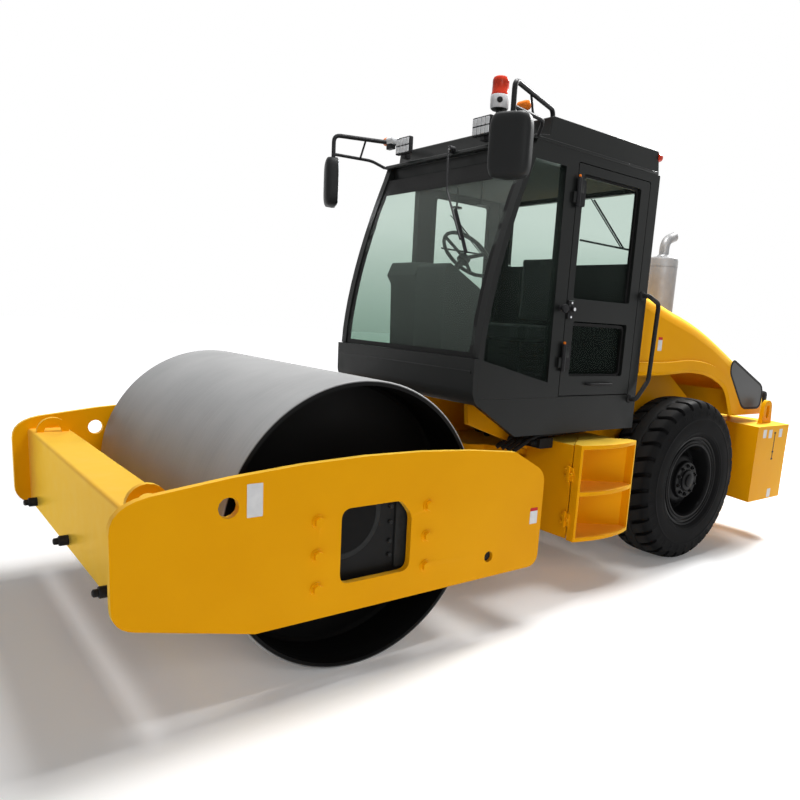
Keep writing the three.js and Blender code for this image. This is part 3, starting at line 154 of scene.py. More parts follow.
floor_mesh = bpy.data.meshes.new("floor")
floor_corners = [(a * FLOOR_HALF, b * FLOOR_HALF, 0) for a, b in ((-1, -1), (1, -1), (1, 1), (-1, 1))]
floor_mesh.from_pydata(floor_corners, [], [(0, 1, 2, 3)])
floor = stood("floor", floor_mesh)
floor_paint, tree, shader = finish_nodes("floor_paint")
reach = node(tree, "VectorMath", {0: place_of(tree)}, operation="LENGTH").outputs["Value"]
glow = {0: spread(tree, reach, FLOOR_GLOW, 1.0, *FLOOR_FADE), 1: seen_rays(tree)}
feed(tree, shader, {
    "Base Color": FLOOR_COLOUR, "Roughness": FLOOR_ROUGHNESS, "Specular IOR Level": FLOOR_SHINE,
    "Emission Color": WHITE, "Emission Strength": node(tree, "Math", glow, operation="MULTIPLY").outputs[0]})
floor_mesh.materials.append(floor_paint)

# ---- Drum ----
# A rolled and welded steel shell, polished dull by the ground, with its recessed ends painted black. The
# shell's ends carry a small chamfer. It is turned as one closed profile about the drum's axle.
drum_low, drum_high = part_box("drum")
DRUM_RADIUS = (drum_high.z - drum_low.z) / 2
DRUM_AXLE = Vector(((drum_low.x + drum_high.x) / 2, 0, DRUM_RADIUS))
DRUM_HALF = drum_high.y
SHELL, WEB_OUT, WEB_IN, WELD, BORE, CHAMFER = 0.030, 0.735, 0.710, 0.02, 0.081, 0.006
# the black paint ends and bare steel begins between these two depths under the drum's surface
PAINT_DEPTH, STEEL_DEPTH = 0.012, 0.004


def grid_quads(rows, columns, looped=False):
    """Corner numbers of the quads of a grid of rows that each close on themselves: cell (i, j) joins points
    (i, j), (i, j+1), (i+1, j+1) and (i+1, j), and a looped grid joins its last row to its first."""
    i = np.arange(rows if looped else rows - 1)[:, None]
    j = np.arange(columns)[None, :]
    i_next, j_next = (i + 1) % rows, (j + 1) % columns
    corners = [i * columns + j, i * columns + j_next, i_next * columns + j_next, i_next * columns + j]
    return np.stack(corners, -1).reshape(-1, 4).tolist()


def merged(mesh, reach, *steps):
    """A mesh with its points nearer than a reach merged, and then each step taken on its editable shape."""
    shape = bmesh.new()
    shape.from_mesh(mesh)
    bmesh.ops.remove_doubles(shape, verts=shape.verts, dist=reach)
    for step in steps:
        step(shape)
    shape.to_mesh(mesh)
    shape.free()


def dressed(made, finish, body, node=None, sharp=0):
    """An object in a finish, shaded smooth but for edges past a sharp angle. It moves with a body, and stands
    for a CAD node if one is named."""
    material, slot = finish
    made.data.shade_smooth()
    if sharp:
        made.data.set_sharp_from_angle(angle=radians(sharp))
    made.data.materials.clear()
    made.data.materials.append(material)
    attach(made, body)
    if node:
        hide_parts(node)


def piece(name, shapes, finish, body="root", sharp=35, node=None):
    """One mesh object of several (points, faces) shapes, each shape's corner numbers moved up by the points
    before it, its seams merged and its faces turned outwards."""
    points, faces, count = [], [], 0
    for some_points, some_faces in shapes:
        points.append(np.reshape(some_points, (-1, 3)))
        faces += [[number + count for number in face] for face in some_faces]
        count += len(points[-1])
    mesh = bpy.data.meshes.new(name)
    mesh.from_pydata(np.concatenate(points), [], faces)
    merged(mesh, 1e-6, lambda shape: bmesh.ops.dissolve_degenerate(shape, edges=shape.edges, dist=1e-7),
           lambda shape: bmesh.ops.recalc_face_normals(shape, faces=shape.faces))
    dressed(stood(name, mesh), finish, body, node, sharp)


def spun(profile, centre, axis="Z", segments=32, way=1, looped=False):
    """A shape turned from (radius, distance) pairs about a line through a centre: each pair goes to r cos t and
    r sin t off the line and to the distance along the axis, backwards where way is -1. Radius zero closes an
    end, and a looped profile joins its last pair to its first."""
    r, h = np.array(profile, float).T[:, :, None]
    t = np.linspace(0, 2 * pi, segments, endpoint=False)[None, :]
    a, b, along = r * np.cos(t), r * np.sin(t), way * h + 0 * t
    points = {"Z": (a, b, along), "Y": (b, along, a), "X": (along, a, b)}[axis]
    return np.stack(points, -1) + np.array(centre), grid_quads(len(profile), segments, looped)


def noise(tree, scale, detail=4.0, stretch=(1, 1, 1)):
    """Noise on the piece's own coordinates, stretched by a factor along each axis."""
    spot = node(tree, "Mapping", {"Vector": place_of(tree), "Scale": stretch}).outputs["Vector"]
    return node(tree, "TexNoise", {"Vector": spot, "Scale": scale, "Detail": detail}).outputs["Fac"]


def blended(tree, factor, first, second):
    """A colour that goes from first to second with a factor; either may be a colour or a socket."""
    mix = node(tree, "Mix", {"Factor": factor}, data_type="RGBA")
    colour_a, colour_b = [n for n, socket in enumerate(mix.inputs) if socket.type == "RGBA"]
    feed(tree, mix, {colour_a: first, colour_b: second})
    return next(socket for socket in mix.outputs if socket.type == "RGBA")


def raised(tree, shader, height, strength, distance):
    """Bump on a shader from a height."""
    bump = node(tree, "Bump", {"Height": height, "Strength": strength, "Distance": distance})
    feed(tree, shader, {"Normal": bump.outputs["Normal"]})


def axle_distance(tree, axle):
    """The distance from the line through an axle's middle along Y: the length of the offset less its Y part."""
    offset = node(tree, "VectorMath", {0: place_of(tree), 1: axle}, operation="SUBTRACT").outputs[0]
    flat = node(tree, "VectorMath", {0: offset, 1: (1, 0, 1)}, operation="MULTIPLY").outputs[0]
    return node(tree, "VectorMath", {0: flat}, operation="LENGTH").outputs["Value"]


def rolled_steel():
    """Dull rolled steel with fine streaks round the drum and cloudy wear, inside a radius black paint."""
    made, tree, shader = finish_nodes("rolled_steel")
    reach = axle_distance(tree, DRUM_AXLE)
    outside = spread(tree, reach, 0, 1, DRUM_RADIUS - PAINT_DEPTH, DRUM_RADIUS - STEEL_DEPTH)
    streaks, clouds = noise(tree, 3.0, 6, (1, 60, 1)), noise(tree, 2.2, 5)
    steel = blended(tree, spread(tree, streaks, 0, 1), (0.29, 0.29, 0.292), (0.38, 0.38, 0.38))
    worn = blended(tree, spread(tree, clouds, 0, 0.55), steel, (0.48, 0.48, 0.476))
    feed(tree, shader, {
        "Base Color": blended(tree, outside, (0.0035, 0.0035, 0.0035), worn),
        "Metallic": spread(tree, outside, 0, 0.10, 0, 1),
        "Specular IOR Level": 0.08,
        "Roughness": spread(tree, streaks, 0.42, 0.6)})
    raised(tree, shader, noise(tree, 30, 4, (1, 12, 1)), 0.25, 0.0008)
    return made, "drum_steel"


# one end of the profile, from the rim over the end and down the web's two faces; the other end mirrors it
drum_end = [
    (DRUM_RADIUS, DRUM_HALF - CHAMFER),
    (DRUM_RADIUS - CHAMFER, DRUM_HALF),
    (DRUM_RADIUS - SHELL, DRUM_HALF),
    (DRUM_RADIUS - SHELL, WEB_OUT + WELD),
    (DRUM_RADIUS - SHELL - WELD, WEB_OUT),
    (BORE, WEB_OUT),
    (BORE, WEB_IN),
    (DRUM_RADIUS - SHELL, WEB_IN),
]
drum_profile = drum_end + [(r, -h) for r, h in reversed(drum_end)]
piece("drum_shell", [spun(drum_profile, DRUM_AXLE, "Y", 192, 1, True)], rolled_steel(), "drum", node="drum")

# ---- Front frame ----
# Thick flame-cut side plates joined by a folded front beam and a rear crossbeam, welded and enamelled warm
# yellow. Their edges are ground to a small round before painting.
EDGE_ROUND, EDGE_STEPS, EDGE_ANGLE, FLAT_ANGLE = 0.004, 2, 33, 0.6
SIDES = (("left", 1), ("right", -1))
# the facing values between which enamel goes to its painted sheen colour, and that colour's metal and tint
SHEEN_FADE, SHEEN_METAL, SHEEN_TINT = (0.56, 0.84), 0.45, (1.0, 0.78, 0.30)


def enamel(name, slot, colour, deep, roughness=0.34, coat=0.02, grain=0.12, specular=0.08, painted_sheen=None):
    """Sprayed enamel: the colour drifts slowly to a deeper one, roughness drifts with finer noise, and a fine
    orange peel lifts the surface under a thin clear coat. With a sheen colour, the colour goes to that one and
    the shine fades where the surface is met at a glance, by 1 - cos of the angle: a golden painted highlight."""
    made, tree, shader = finish_nodes(name)
    seen = blended(tree, spread(tree, noise(tree, 1.3, 3), 0, 1), colour, deep)
    looks = {"Specular IOR Level": specular, "Coat Weight": coat, "Coat Roughness": 0.12,
             "Roughness": spread(tree, noise(tree, 9, 6), roughness - 0.05, roughness + 0.09)}
    # the painted sheen: a golden highlight mixed into the colour where the surface is met at a glance
    if painted_sheen:
        facing = node(tree, "LayerWeight", {"Blend": 0.5}).outputs["Facing"]
        sheen_share = spread(tree, facing, 0, 1, *SHEEN_FADE)
        seen = blended(tree, sheen_share, seen, painted_sheen)
        looks.update({"Specular IOR Level": spread(tree, sheen_share, specular, 0, 0, 1),
                      "Metallic": spread(tree, sheen_share, 0, SHEEN_METAL, 0, 1), "Specular Tint": SHEEN_TINT})
    feed(tree, shader, {"Base Color": seen, **looks})
    raised(tree, shader, noise(tree, 260, 2), grain, 0.0004)
    return made, slot


def solid_copy(node, name):
    """A copy of a CAD node's mesh, without its finish."""
    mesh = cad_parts[node].data.copy()
    mesh.name = name
    mesh.materials.clear()
    return mesh


def softened(node, finish, width=EDGE_ROUND, body="root"):
    """A copy of a CAD node, merged, its flat faces joined, and its edges rounded by a width. It stands for
    the node."""
    mesh = solid_copy(node, node + "_finished")
    merged(mesh, 2e-5, lambda shape: bmesh.ops.dissolve_degenerate(shape, edges=shape.edges, dist=1e-5),
           lambda shape: bmesh.ops.dissolve_limit(
               shape, angle_limit=radians(FLAT_ANGLE), verts=shape.verts, edges=shape.edges))
    made = stood(mesh.name, mesh)
    dressed(made, finish, body, node, EDGE_ANGLE)
    if width:
        bevel = made.modifiers.new("rounded_edges", "BEVEL")
        bevel.width, bevel.segments = width, EDGE_STEPS
        bevel.limit_method, bevel.angle_limit = "ANGLE", radians(EDGE_ANGLE)
        bevel.harden_normals = bevel.use_clamp_overlap = True


# yellow enamel, with a golden painted sheen where it is met at a glance
yellow_enamel = enamel("yellow_enamel", "yellow_paint", (0.82, 0.37, 0.003), (0.77, 0.33, 0.002), specular=0.05,
                       painted_sheen=(1.0, 0.66, 0.09))
black_enamel = enamel("black_enamel", "black_paint", (0.006, 0.006, 0.006), (0.010, 0.010, 0.010), 0.42, 0.05)
for hand, side in SIDES:
    softened(f"side_plate_{hand}", yellow_enamel, 0.006, "front_frame")
    softened(f"drum_carrier_{hand}", black_enamel, 0.003, "front_frame")
softened("front_beam", yellow_enamel, EDGE_ROUND, "front_frame")
softened("rear_crossbeam", yellow_enamel, EDGE_ROUND, "front_frame")

# ---- Marks and pins of the front frame ----
# Blank stickers on the side plates, and three black pins that carry the scrapers under the front beam. The
# stickers are printed vinyl, the pins turned steel pressed through sleeves.
PLATE_FACE, STICKER_PROUD, STICKER_CORNER = 1.195, 0.0012, 0.004
PIN_X, PIN_Z, PIN_YS, PIN_ROOT = 3.14, 0.600, (-0.94, -0.035, 0.82), -0.09


def plain(name, slot, colour, other, roughness, scale=40, bump=0.1, distance=0.0005, metallic=0.0):
    """A moulded or sprayed finish: its colour and roughness drift with noise, and the same noise lifts it."""
    made, tree, shader = finish_nodes(name)
    grain = noise(tree, scale, 5)
    feed(tree, shader, {
        "Base Color": blended(tree, spread(tree, grain, 0, 1), colour, other),
        "Roughness": spread(tree, grain, roughness - 0.05, roughness + 0.08),
        "Metallic": metallic,
        "Specular IOR Level": 0.10})
    raised(tree, shader, grain, bump, distance)
    return made, slot


def curved(start, corner, end, steps):
    """Points on the quadratic curve from each start, drawn to its corner, to its end: (1-t)^2 start + 2t(1-t)
    corner + t^2 end."""
    t = np.linspace(0, 1, steps)[None, :, None]
    curve = (1 - t) ** 2 * start[:, None] + 2 * t * (1 - t) * corner[:, None] + t**2 * end[:, None]
    return curve.reshape(-1, curve.shape[-1])


def rounded_outline(corners, radius, steps=5):
    """A flat outline with each corner replaced by a curve that leaves one side at a radius from the corner and
    joins the next at the same radius, or at 0.49 of the shorter side where the radius is more."""
    at = np.array(corners, float)
    before, after = np.roll(at, 1, 0) - at, np.roll(at, -1, 0) - at
    back, ahead = np.linalg.norm(before, axis=1)[:, None], np.linalg.norm(after, axis=1)[:, None]
    reach = np.minimum(radius, 0.49 * np.minimum(back, ahead))
    return curved(at + before / back * reach, at, at + after / ahead * reach, steps)


def prism(outline, low, high, axis="Y", chamfer=0.0):
    """A flat outline carried along an axis from one place to another, closed by two faces. The axis says which
    two coordinates the outline gives: Z is (x, y), Y is (x, z), X is (y, z). A chamfer draws both ends in."""
    flat = np.array(outline, float)
    low, high = sorted((low, high))
    rings = [(flat, low), (flat, high)]
    if chamfer:
        toward = flat.mean(0) - flat
        inner = flat + toward / np.linalg.norm(toward, axis=1)[:, None] * chamfer
        rings = [(inner, low), (flat, low + chamfer), (flat, high - chamfer), (inner, high)]
    order = {"Z": (0, 1, 2), "Y": (0, 2, 1), "X": (2, 0, 1)}[axis]
    points = np.concatenate([np.column_stack([ring, np.full(len(ring), at)]) for ring, at in rings])
    n, levels = len(flat), len(rings)
    ends = [list(range(n))[::-1], list(range((levels - 1) * n, levels * n))]
    return points[:, order], grid_quads(levels, n) + ends


def block(corner, opposite, radius=0.0, axis="Y", chamfer=0.0, steps=5):
    """A box between two opposite corners as a prism along an axis, with its corners rounded by a radius."""
    low, high = np.minimum(corner, opposite), np.maximum(corner, opposite)
    a, b, c = {"Z": (0, 1, 2), "Y": (0, 2, 1), "X": (1, 2, 0)}[axis]
    corners = [(low[a], low[b]), (high[a], low[b]), (high[a], high[b]), (low[a], high[b])]
    outline = rounded_outline(corners, radius, steps) if radius else corners
    return prism(outline, low[c], high[c], axis, chamfer)


white_vinyl = plain("white_vinyl", "blank_label", (0.62, 0.62, 0.63), (0.72, 0.72, 0.72), 0.35, 20, 0.05)
red_vinyl = plain("red_vinyl", "blank_label", (0.55, 0.02, 0.02), (0.48, 0.02, 0.02), 0.35, 20, 0.05)
pin_black = plain("pin_black", "black_paint", (0.010, 0.010, 0.011), (0.02, 0.02, 0.021), 0.42, 60, 0.2)


def sticker(name, centre, width, height, face_y, body, red_top=0.0):
    """A blank sticker, a thin plate with rounded corners on a face that looks along Y; red_top is the part of
    its height that is red."""
    u, v = centre
    proud_y = face_y + np.sign(face_y) * STICKER_PROUD
    split = v + height / 2 - red_top * height
    parts = [("", v - height / 2, split, white_vinyl), ("_red", split, v + height / 2, red_vinyl)]
    for suffix, bottom, top, vinyl in parts[:2 if red_top else 1]:
        low, high = (u - width / 2, face_y, bottom), (u + width / 2, proud_y, top)
        piece(name + suffix, [block(low, high, STICKER_CORNER, steps=3)], vinyl, body)


for hand, side in SIDES:
    sticker(f"plate_sticker_front_{hand}", (2.563, 1.062), 0.078, 0.160, side * PLATE_FACE, "front_frame")
    sticker(f"plate_sticker_rear_{hand}", (0.676, 0.740), 0.066, 0.105, side * PLATE_FACE, "front_frame", 0.2)
pin = [(0, 0.012), (0.012, 0.012), (0.019, 0.006), (0.020, PIN_ROOT), (0.0, PIN_ROOT)]
sleeve = [(0, -0.006), (0.026, -0.006), (0.029, -0.010), (0.029, PIN_ROOT), (0, PIN_ROOT)]
pins = []
for y in PIN_YS:
    pins += [spun(pin, (PIN_X + 0.03, y, PIN_Z), "X", 24), spun(sleeve, (PIN_X + 0.02, y, PIN_Z), "X", 24)]
piece("scraper_pins", pins, pin_black, "front_frame")

# ---- Pins in the side plates ----
# A black pin end sits deep in the small hole near each side plate's rear foot. It is turned steel with a
# raised centre, pressed in from the outside.
FOOT_PIN = (DRUM_AXLE.x - 0.839, 0, 0.528)
foot_pin = [(0, 1.150), (0.033, 1.150), (0.033, 1.170), (0.030, 1.174), (0.014, 1.174), (0.012, 1.180),
            (0, 1.180)]
for hand, side in SIDES:
    piece(f"plate_pin_{hand}", [spun(foot_pin, FOOT_PIN, "Y", 32, side)], pin_black, "front_frame")

# ---- Motor housings on the drum carriers ----
# Behind each side plate's window a dished motor housing is bolted to the carrier, with a row of bolts beside
# it. The housing is a clipped disc with a ground lip, painted black; the near-black disc inside it is painted
# shade of its hollow.
CARRIER_FACE = 1.120
HOUSING_X, HOUSING_Z, HOUSING_GAP = 2.05, 0.900, 0.012
COVER_BOLT_X, COVER_BOLT_ZS = 1.742, (0.640, 0.720, 0.828, 0.915)
# a near-black disc laid on the lip: painted shade of the housing's hollow
painted_recess_shade = plain("painted_recess_shade", "black_paint", (0.0016, 0.0016, 0.0016), (0.003, 0.003, 0.003), 0.6, 30,
                     0.2)
housing_grey = plain("housing_grey", "black_paint", (0.017, 0.018, 0.018), (0.024, 0.025, 0.025), 0.45, 30, 0.3)
disc = np.linspace(0, 2 * pi, 72, endpoint=False)
cover_bolt = [(0, 0), (0.013, 0), (0.013, 0.012), (0.010, 0.015), (0, 0.015)]
for hand, side in SIDES:
    carrier_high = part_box(f"drum_carrier_{hand}")[1]
    for name, finish, radius, low, high in (("lip", housing_grey, 0.236, -0.004, 0.010),
                                            ("recess", painted_recess_shade, 0.206, 0.008, 0.0115)):
        x = np.minimum(HOUSING_X + radius * np.cos(disc), carrier_high.x - HOUSING_GAP)
        z = np.minimum(HOUSING_Z + radius * np.sin(disc), carrier_high.z - HOUSING_GAP)
        near, far = side * (CARRIER_FACE + low), side * (CARRIER_FACE + high)
        piece(f"housing_{name}_{hand}", [prism(np.column_stack([x, z]), near, far, "Y", 0.003)], finish,
              "front_frame")
    cover = [block((1.600, side * (CARRIER_FACE - 0.004), 0.560), (1.712, side * (CARRIER_FACE + 0.012), 0.960),
                   0.02, "Y", 0.004)]
    cover += [spun(cover_bolt, (COVER_BOLT_X, side * CARRIER_FACE, z), "Y", 6, side) for z in COVER_BOLT_ZS]
    piece(f"carrier_cover_{hand}", cover, housing_grey, "front_frame")

# ---- Articulation, rear frame and ballast ----
# Welded box sections: the yoke and centre pin that join the halves, the rear frame's side plates, and the cast
# ballast block with its two lifting eyes. Hoses run in the open nose of the frame.
softened("yoke", yellow_enamel, 0.003, "yoke")
softened("rear_frame", yellow_enamel)
softened("ballast", yellow_enamel, 0.006)
chrome = plain("rod_chrome", "chromed_rod", (0.62, 0.63, 0.64), (0.56, 0.57, 0.58), 0.16, 30, 0.02, 0.0002, 1.0)
for hand, side in SIDES:
    softened(f"steering_barrel_{hand}", yellow_enamel, 0.002, f"steering_barrel_{hand}")
    softened(f"steering_rod_{hand}", chrome, 0.002, f"steering_rod_{hand}")
HOSE_GAP, HOSE_DROP, RUN_SHARE = 0.17, 0.05, 0.95


def route(points, bend, steps=6):
    """A path of straight runs whose inner corners are curves that begin and end at a bend's length from the
    corner, or at RUN_SHARE of a run that is shorter."""
    at = np.array(points, float)
    corner, before, after = at[1:-1], at[:-2] - at[1:-1], at[2:] - at[1:-1]
    back, ahead = np.linalg.norm(before, axis=1)[:, None], np.linalg.norm(after, axis=1)[:, None]
    start = corner + before / back * np.minimum(bend, RUN_SHARE * back)
    end = corner + after / ahead * np.minimum(bend, RUN_SHARE * ahead)
    return np.concatenate([at[:1], curved(start, corner, end, steps), at[-1:]])


def swept(path, section, upright=(0, 0, 1), closed=False):
    """A section of (across, up) pairs carried along a path, its ends closed. Across is the cross product of
    the path's direction and an upright direction, and up is at right angles to both."""
    at, flat = np.array(path, float), np.array(section, float)
    ahead = np.roll(at, -1, 0) - np.roll(at, 1, 0) if closed else np.gradient(at, axis=0)
    ahead /= np.linalg.norm(ahead, axis=1)[:, None]
    across = np.cross(ahead, upright)
    across /= np.linalg.norm(across, axis=1)[:, None]
    up = np.cross(across, ahead)
    points = at[:, None] + flat[None, :, :1] * across[:, None] + flat[None, :, 1:] * up[:, None]
    n, count = len(flat), len(at)
    ends = [] if closed else [list(range(n)), list(range((count - 1) * n, count * n))[::-1]]
    return points, grid_quads(count, n, closed) + ends


def ring_section(radius, sides):
    """A round section: its points are r cos t across and r sin t up, for t in equal steps round the circle."""
    t = np.linspace(0, 2 * pi, sides, endpoint=False)
    return np.column_stack([radius * np.cos(t), radius * np.sin(t)])


def tube(path, radius, sides, upright=(0, 0, 1)):
    """A round bar: a round section of a radius swept along a path."""
    return swept(path, ring_section(radius, sides), upright)


hose_rubber = plain("hose_rubber", "black_paint", (0.008, 0.008, 0.009), (0.016, 0.016, 0.016), 0.5, 90, 0.3,
                    0.0006)
hoses = []
for number in range(5):
    y, low = -2 * HOSE_GAP + HOSE_GAP * number, 1.02 - HOSE_DROP * (number % 2)
    corners = [(-0.42, y, 1.30), (-0.20, y + 0.02, 1.28), (-0.10, y, low), (-0.55, y * 0.9, low - 0.08)]
    hoses.append(tube(route(corners, 0.11, 10), 0.016 + 0.004 * (number % 2), 14, (0, 1, 0)))
piece("nose_hoses", hoses, hose_rubber)

# ---- Tanks and steps ----
# The fuel and oil tanks sit either side of the frame, and a folded step box hinges on each. Latch plates with
# three bolts hold its front edge, and a valve bank with its hoses sits behind each tank's nose.
SEAM_Y, LATCH_ZS, LATCH_BOLTS = 0.923, (0.895, 0.557), ((-0.034, 0.026), (-0.034, -0.026), (0.018, 0.0))
latch_bolt = [(0, 0.010), (0.012, 0.010), (0.012, 0.020), (0.009, 0.023), (0, 0.023)]
valve_cap = [(0, 0), (0.022, 0), (0.022, 0.030), (0.014, 0.034), (0.014, 0.050), (0, 0.050)]
for hand, side in SIDES:
    softened(f"tank_{hand}", yellow_enamel)
    softened(f"step_door_{hand}", yellow_enamel, 0.004, f"step_door_{hand}")

    x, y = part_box(f"tank_{hand}")[1].x, side * SEAM_Y
    for number, z in enumerate(LATCH_ZS):
        plate = [block((x + 0.001, y - 0.048, z - 0.050), (x + 0.011, y + 0.030, z + 0.050), 0.010, "X", 0.003),
                 block((x + 0.010, y - 0.022, z - 0.060), (x + 0.024, y + 0.002, z + 0.060), 0.006, "X", 0.003)]
        plate += [spun(latch_bolt, (x, y + a, z + b), "X", 6) for a, b in LATCH_BOLTS]
        piece(f"latch_{number}_{hand}", plate, yellow_enamel, f"step_door_{hand}")
    bank = []
    for number in range(4):
        y = side * (0.52 + 0.075 * number)
        corners = [(-0.30, y, 1.150 + 0.008 * number), (-0.02, y, 1.165),
                   (0.16 + 0.02 * number, y * 0.97, 1.155), (0.30, y * 0.80, 1.02)]
        bank.append(tube(route(corners, 0.09, 8), 0.017, 12, (0, 1, 0)))
    bank.append(block((0.06, side * 0.50, 1.06), (0.20, side * 0.76, 1.135), 0.012, "Y", 0.004))
    bank += [spun(valve_cap, (0.198, side * (0.55 + 0.08 * number), 1.098), "X", 6) for number in range(3)]
    piece(f"valve_bank_{hand}", bank, hose_rubber)

# ---- Axle and wheels ----
# The drive axle carries two tyres on painted dished rims: deep shoulder lugs, a zigzag middle rib, fine ribs
# below the shoulder, and rings on the sidewall. Rubber is moulded in one piece round the rim.
softened("rear_axle", black_enamel, 0.003)
softened("engine_block", black_enamel, 0.003)
tyre_low, tyre_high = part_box("tyre_left")
TYRE_RADIUS, TYRE_HALF = (tyre_high.z - tyre_low.z) / 2, (tyre_high.y - tyre_low.y) / 2
TYRE_MIDDLE, AXLE_X = (tyre_high.y + tyre_low.y) / 2, (tyre_high.x + tyre_low.x) / 2
BEAD = 0.337
LUGS, LUG_DEPTH, ZIGZAG, ZIGZAG_DEPTH = 32, 0.030, 0.018, 0.014
RING_RADII, RING_HEIGHT, RIB_DEPTH = (0.410, 0.432, 0.545), 0.0035, 0.0028
ROWS_ACROSS = 117
# one lug pitch: how far round each sample lies, how deep the groove is there, and where the fine ribs stand
PITCH_AT = np.array([0.0, 0.10, 0.20, 0.25, 0.40, 0.55, 0.72, 0.94])
PITCH_DEEP = np.array([1.0, 1.0, 1.0, 0.0, 0.0, 0.0, 0.0, 0.0])
PITCH_RIBS = np.array([0.0, 1.0] * 4)


def smooth(x, low, high):
    """0 below low, 1 above high, and an S curve 3t^2 - 2t^3 between."""
    t = np.clip((x - low) / (high - low), 0, 1)
    return t * t * (3 - 2 * t)


def tyre_surface(side):
    """The tyre as a grid of columns round it and rows across it. A row's radius and distance come from a
    profile rounded by cutting its corners; grooves go in along the radius by the lug's depth times a pitch
    wave; the waves of the two shoulders are half a pitch apart and slant with the distance."""
    half = np.array([(0.0, 1.0), (0.30, 0.999), (0.60, 0.992), (0.80, 0.972), (0.905, 0.925), (0.935, 0.88),
                     (0.975, 0.80), (1.0, 0.70), (0.99, 0.635), (0.955, 0.588), (0.87, 0.562), (0.76, 0.545),
                     (0.74, BEAD / TYRE_RADIUS)])
    line = np.concatenate([half[::-1] * (-1, 1), half[1:]]) * (TYRE_HALF, TYRE_RADIUS)
    for _ in range(2):
        cut = np.stack([0.75 * line[:-1] + 0.25 * line[1:], 0.25 * line[:-1] + 0.75 * line[1:]], 1)
        line = np.concatenate([line[:1], cut.reshape(-1, 2), line[-1:]])
    length = np.concatenate([[0], np.cumsum(np.linalg.norm(np.diff(line, axis=0), axis=1))])
    at = np.linspace(0, length[-1], ROWS_ACROSS)
    across, r = np.interp(at, length, line[:, 0])[:, None], np.interp(at, length, line[:, 1])[:, None]
    w, part = across / TYRE_HALF, r / TYRE_RADIUS
    pitch = 2 * pi / LUGS
    turn = ((np.arange(LUGS)[:, None] + PITCH_AT).ravel() * pitch)[None, :]
    deep, ribs = np.tile(PITCH_DEEP, LUGS)[None, :], np.tile(PITCH_RIBS, LUGS)[None, :]
    zigzag = 2 * np.abs((turn / pitch) % 1 - 0.5) - 0.5
    tread = smooth(np.abs(w), 0.26, 0.33) * smooth(part, 0.895, 0.935)
    middle = smooth(np.abs(w), 0.20, 0.235) * (1 - smooth(np.abs(w), 0.265, 0.30)) * (part > 0.9)
    fine = smooth(part, 0.80, 0.815) * (1 - smooth(part, 0.87, 0.88))
    rings = sum(smooth(r, a - 0.004, a) * (1 - smooth(r, a + 0.004, a + 0.008)) for a in RING_RADII)
    slant = pitch * (0.5 * smooth(w, -0.2, 0.2) + 0.30 * np.sign(w) * smooth(np.abs(w), 0.2, 0.9))
    reach = r - LUG_DEPTH * tread * deep - ZIGZAG_DEPTH * middle
    outward = np.sign(w) * (RING_HEIGHT * rings - RIB_DEPTH * fine * ribs)
    y = side * (TYRE_MIDDLE + across + outward + ZIGZAG * zigzag * middle)
    angle = turn + slant
    points = np.stack([AXLE_X + reach * np.cos(angle), y + 0 * angle, TYRE_RADIUS + reach * np.sin(angle)], -1)
    return points, grid_quads(ROWS_ACROSS, turn.size, True)


def tyre_rubber():
    """Matt black rubber with a fine cloudy bloom and a faint grain; past a radius, dust greys the tread."""
    made, tree, shader = finish_nodes("tyre_rubber")
    bloom = noise(tree, 7, 6)
    rubber = blended(tree, spread(tree, bloom, 0, 1), (0.0055, 0.0055, 0.006), (0.0105, 0.0105, 0.0105))
    reach = axle_distance(tree, (AXLE_X, 0, TYRE_RADIUS))
    dusty = spread(tree, reach, 0, 0.85, TYRE_RADIUS - 0.020, TYRE_RADIUS - 0.004)
    feed(tree, shader, {
        "Base Color": blended(tree, dusty, rubber, (0.026, 0.026, 0.026)),
        "Roughness": spread(tree, bloom, 0.50, 0.72),
        "Specular IOR Level": 0.03})
    raised(tree, shader, noise(tree, 220, 3), 0.25, 0.0006)
    return made, "tyre_rubber"


tyre_black = tyre_rubber()
rim_black = enamel("rim_black", "black_paint", (0.0045, 0.0045, 0.005), (0.008, 0.008, 0.008), 0.38, 0.03,
                   0.12, 0.06)
# the rim from its back edge round the outside to the hub cap; distances run outwards from the tyre's middle
rim_profile = [
    (0.336, -0.165), (0.336, 0.130), (0.386, 0.178), (0.391, 0.188), (0.386, 0.193), (0.374, 0.190),
    (0.368, 0.180), (0.360, 0.180), (0.354, 0.190), (0.343, 0.192), (0.337, 0.182), (0.329, 0.180),
    (0.322, 0.188), (0.311, 0.188), (0.303, 0.176), (0.297, 0.150), (0.292, 0.030), (0.276, 0.008),
    (0.256, 0.014), (0.215, 0.085), (0.190, 0.104), (0.166, 0.110), (0.160, 0.120), (0.158, 0.142),
    (0.152, 0.148), (0.098, 0.148), (0.092, 0.152), (0.090, 0.164), (0.084, 0.170), (0.062, 0.171),
    (0.056, 0.174), (0.054, 0.184), (0.046, 0.188), (0.0, 0.189), (0.0, -0.02), (0.14, -0.02),
    (0.24, -0.06), (0.300, -0.10), (0.306, -0.160)]
wheel_nut = [(0, 0.140), (0.017, 0.140), (0.017, 0.156), (0.015, 0.159), (0.009, 0.159), (0.008, 0.170),
             (0, 0.171)]
WHEEL_NUTS, NUT_CIRCLE = 10, 0.124
for hand, side in SIDES:
    piece(f"tyre_moulded_{hand}", [tyre_surface(side)], tyre_black, f"wheel_{hand}", 28, f"tyre_{hand}")
    rim = [spun(rim_profile, (AXLE_X, side * TYRE_MIDDLE, TYRE_RADIUS), "Y", 96, side, True)]
    for number in range(WHEEL_NUTS):
        t = 2 * pi * (number + 0.5) / WHEEL_NUTS
        place = (AXLE_X + NUT_CIRCLE * cos(t), side * TYRE_MIDDLE, TYRE_RADIUS + NUT_CIRCLE * sin(t))
        rim.append(spun(wheel_nut, place, "Y", 6, side))
    piece(f"rim_dished_{hand}", rim, rim_black, f"wheel_{hand}", 30, f"rim_{hand}")

